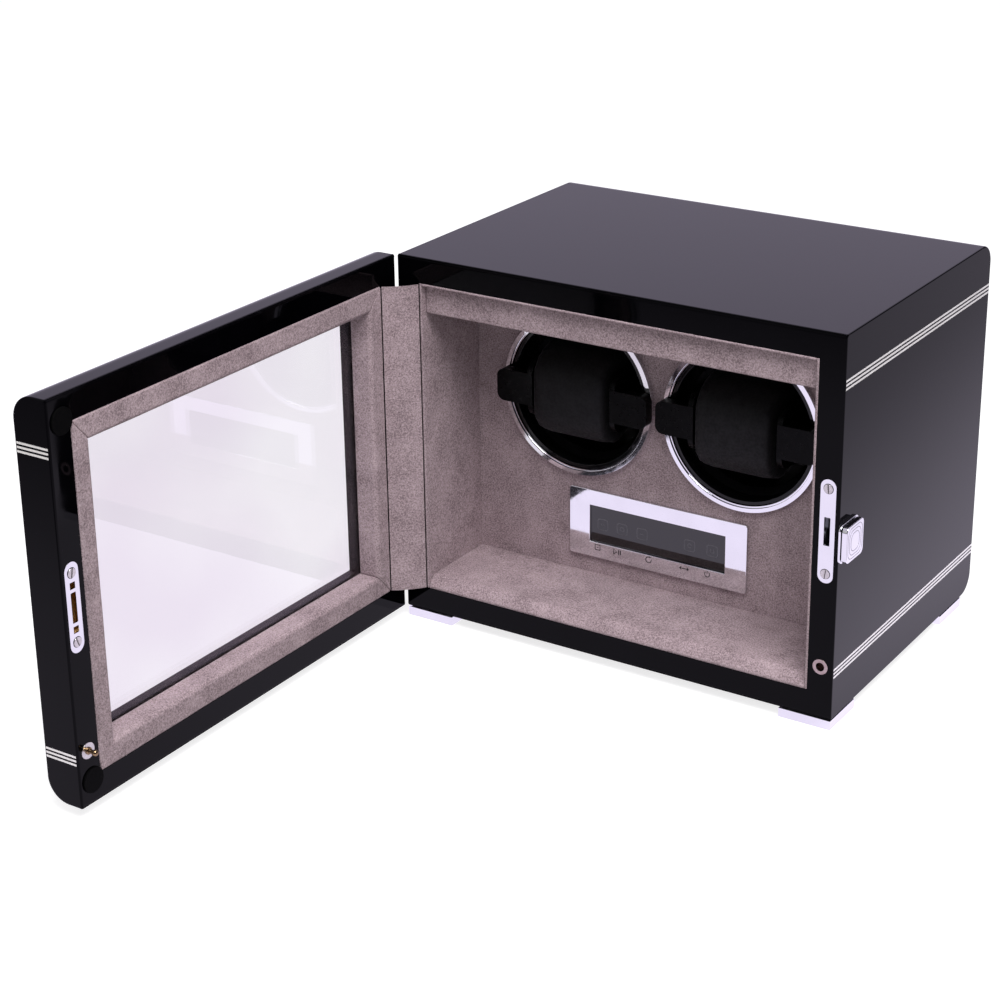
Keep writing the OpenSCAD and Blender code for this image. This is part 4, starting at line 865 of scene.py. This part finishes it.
def frame_corners(x, z):
    """The four corners of one outline of the padded frame, as seen from the front."""
    return [(-x, z), (x, z), (x, CASE_HEIGHT - z), (-x, CASE_HEIGHT - z)]


bars = []
corners_out, corners_in = frame_corners(PAD_OUTER, PAD_OUTER_Z), frame_corners(PAD_INNER, PAD_INNER_Z)
for i in range(4):
    j = (i + 1) % 4
    bpy.ops.mesh.primitive_cube_add(size=2)
    bar = bpy.context.object
    for corner in bar.data.vertices:
        start, inner, top = corner.co.x < 0, corner.co.z > 0, corner.co.y > 0
        ring = corners_in if inner else corners_out
        x, z = ring[i if start else j]
        corner.co = metres(x, PAD_TOP if top else PAD_FOOT, z)
    run = Vector((corners_out[j][0] - corners_out[i][0], 0, corners_out[j][1] - corners_out[i][1]))
    run.normalize()
    open_up(bar)
    choose_edges(bar, lambda e: abs((e.verts[1].co - e.verts[0].co).normalized().dot(run)) > 0.99)
    bpy.ops.mesh.subdivide(number_cuts=BAR_CUTS)
    bpy.ops.mesh.select_all(action="SELECT")
    bpy.ops.mesh.normals_make_consistent(inside=False)
    bpy.ops.mesh.select_all(action="DESELECT")

    def is_crest(edge, inner):
        """Whether an edge runs along the bar on its top, at the glass's side or at the outside."""
        on_top = all(abs(v.co.y * 1000 - PAD_TOP) < 0.01 for v in edge.verts)
        along_bar = abs((edge.verts[1].co - edge.verts[0].co).normalized().dot(run)) > 0.99
        walls = [f for f in edge.link_faces if abs(f.normal.y) < 0.5]
        if not (on_top and along_bar and walls):
            return False
        x, z = edge.verts[0].co.x * 1000, edge.verts[0].co.z * 1000 - CASE_HEIGHT / 2
        outwards = max(abs(x) / PAD_OUTER, abs(z) / (CASE_HEIGHT / 2 - PAD_OUTER_Z))
        return (outwards < 0.999) == inner

    choose_edges(bar, lambda e: is_crest(e, True))
    bpy.ops.mesh.bevel(offset=CREST / 1000, segments=6, affect="EDGES", clamp_overlap=False)
    bpy.ops.mesh.select_all(action="DESELECT")
    choose_edges(bar, lambda e: is_crest(e, False))
    bpy.ops.mesh.bevel(offset=OUTER_EDGE / 1000, segments=3, affect="EDGES", clamp_overlap=False)
    bpy.ops.object.mode_set(mode="OBJECT")
    ease_edges(bar, MITRE, 3, 40)
    bars.append(bar)
choose_pieces(*bars)
bpy.ops.object.join()
pad_frame = bpy.context.object
pad_frame.name = "door_padding"
for point in pad_frame.data.vertices:
    for z in (REST_PAD_Z, CASE_HEIGHT - REST_PAD_Z):
        beside = point.co - metres(REST_PAD_X, 0, z)
        beside.y = 0
        if beside.length < REST_PAD_ROOM / 1000:
            point.co += beside.normalized() * (REST_PAD_ROOM / 1000 - beside.length)
    if point.co.y * 1000 > PAD_TOP - 6:
        point.co.y += PAD_UNEVEN / 1000 * noise.noise(point.co * UNEVEN_PER_METRE)
settle(pad_frame, suede, "suede", "door", "door_pad_frame", drawing=IN_DOOR, smooth=50)

# ---- Strike plate, guide pin and pads ----
# On the door's inside face: the plated strike plate with a brass box behind its openings, the
# turned guide pin, and two round black pads that the closing door rests on.

GUIDE_X, GUIDE_Z = 120.65, 27.8
BALL, BALL_Y, NECK = 1.6, 3.2, 1.12
STRIKE_SCREW_Z, STRIKE_SCREW_TURNS = 16.9, (80, 110)
STRIKE_SCREW_FACE, STRIKE_SLOT_FLOOR = -0.9, -0.73

brass, tree, shader = plain_finish("brass", (0.6, 0.34, 0.1), 0.4, Metallic=0.7)
tint(tree, shader, grain(tree, 3, 3), (0.5, 0.27, 0.07), (0.68, 0.4, 0.13))
polish(tree, shader, grain(tree, 1.5, 3), 0.32, 0.48)

strike = machined("strike_plate_polished", "strike_plate", IN_DOOR)
ease_edges(strike, 0.3)
settle(strike, polished_metal, "polished_metal", "door", "strike_plate", drawing=IN_DOOR)
strike_screws = machined("strike_screws_driven", "strike_screws", IN_DOOR)
turn_screws(strike_screws, STRIKE_SCREW_Z, STRIKE_SLOT_FLOOR, -SLOT_DEEPER, *STRIKE_SCREW_TURNS)
ease_edges(strike_screws, HEAD_EASED)
settle(strike_screws, nickel, "polished_metal", "door", "strike_screws", drawing=IN_DOOR)
# Painted shade: near-black strokes in the strike screws' slots and round their heads stand in for the shade
# there.
strike_painted_shade = drawn_lines(
    "strike_screw_painted_shade",
    painted_slot_shade(STRIKE_SCREW_Z, STRIKE_SCREW_FACE, STRIKE_SCREW_FACE + SLOT_SUNK, *STRIKE_SCREW_TURNS),
    SLOT_LINE,
)
flatten(strike_painted_shade, 1, STRIKE_SCREW_FACE, SLOT_PRESSED)
settle(strike_painted_shade, enamel_and_painted_shade, "gloss_black", "door", drawing=IN_DOOR)
dress(brass, "strike_box")


def turned(name, profile):
    """A turned piece on the guide pin's line, from pairs of place along it and radius."""
    start, radius = profile[0]
    bpy.ops.object.select_all(action="DESELECT")
    bpy.ops.mesh.primitive_circle_add(
        vertices=40, radius=radius / 1000, fill_type="NGON", location=metres(GUIDE_X, start, GUIDE_Z),
        rotation=(math.radians(90), 0, 0),
    )
    bpy.ops.object.transform_apply(location=True, rotation=True, scale=True)
    piece = bpy.context.object
    piece.name = name
    bpy.ops.object.mode_set(mode="EDIT")
    bpy.ops.mesh.select_all(action="SELECT")
    for place, next_radius in profile[1:]:
        bpy.ops.mesh.extrude_region_move(TRANSFORM_OT_translate={"value": metres(0, place - start, 0)})
        share = next_radius / radius
        bpy.ops.transform.resize(value=(share, 1, share), center_override=metres(GUIDE_X, place, GUIDE_Z))
        start, radius = place, next_radius
    bpy.ops.mesh.select_all(action="SELECT")
    bpy.ops.mesh.normals_make_consistent(inside=False)
    bpy.ops.object.mode_set(mode="OBJECT")
    return piece


disc = turned("guide_pin_disc", ((-2.0, 4.1), (-0.95, 4.1), (-0.8, 3.95), (-0.8, 1.6)))
settle(disc, nickel, "polished_metal", "door", "guide_pin", drawing=IN_DOOR, smooth=40)
dark_gold, tree, shader = plain_finish("dark_gold", (0.25, 0.17, 0.09), 0.12, Metallic=1.0)
tint(tree, shader, grain(tree, 2, 2), (0.2, 0.13, 0.065), (0.3, 0.21, 0.12))
ball = [(BALL_Y + y, radius) for radius, y in arc(BALL, -40, 80, steps=12)]
pin = turned("guide_pin_turned", [(-0.8, 1.75), (-0.45, 1.85), (-0.2, 1.75), (0.0, NECK), (1.9, NECK), *ball,
                                  (BALL_Y + BALL, 0.05)])
settle(pin, dark_gold, "brass", "door", "guide_pin", drawing=IN_DOOR, smooth=50)
soft_black, tree, shader = plain_finish("soft_black", (0.001, 0.001, 0.001), 0.7, Specular_IOR_Level=0.05)
tint(tree, shader, grain(tree, 2, 2), (0.0007, 0.0007, 0.0007), (0.0014, 0.0014, 0.0014))
pads = machined("door_rest_pads", "door_bumpers", IN_DOOR)
ease_edges(pads, 0.3, 3)
settle(pads, soft_black, "rubber", "door", "door_bumpers", drawing=IN_DOOR)
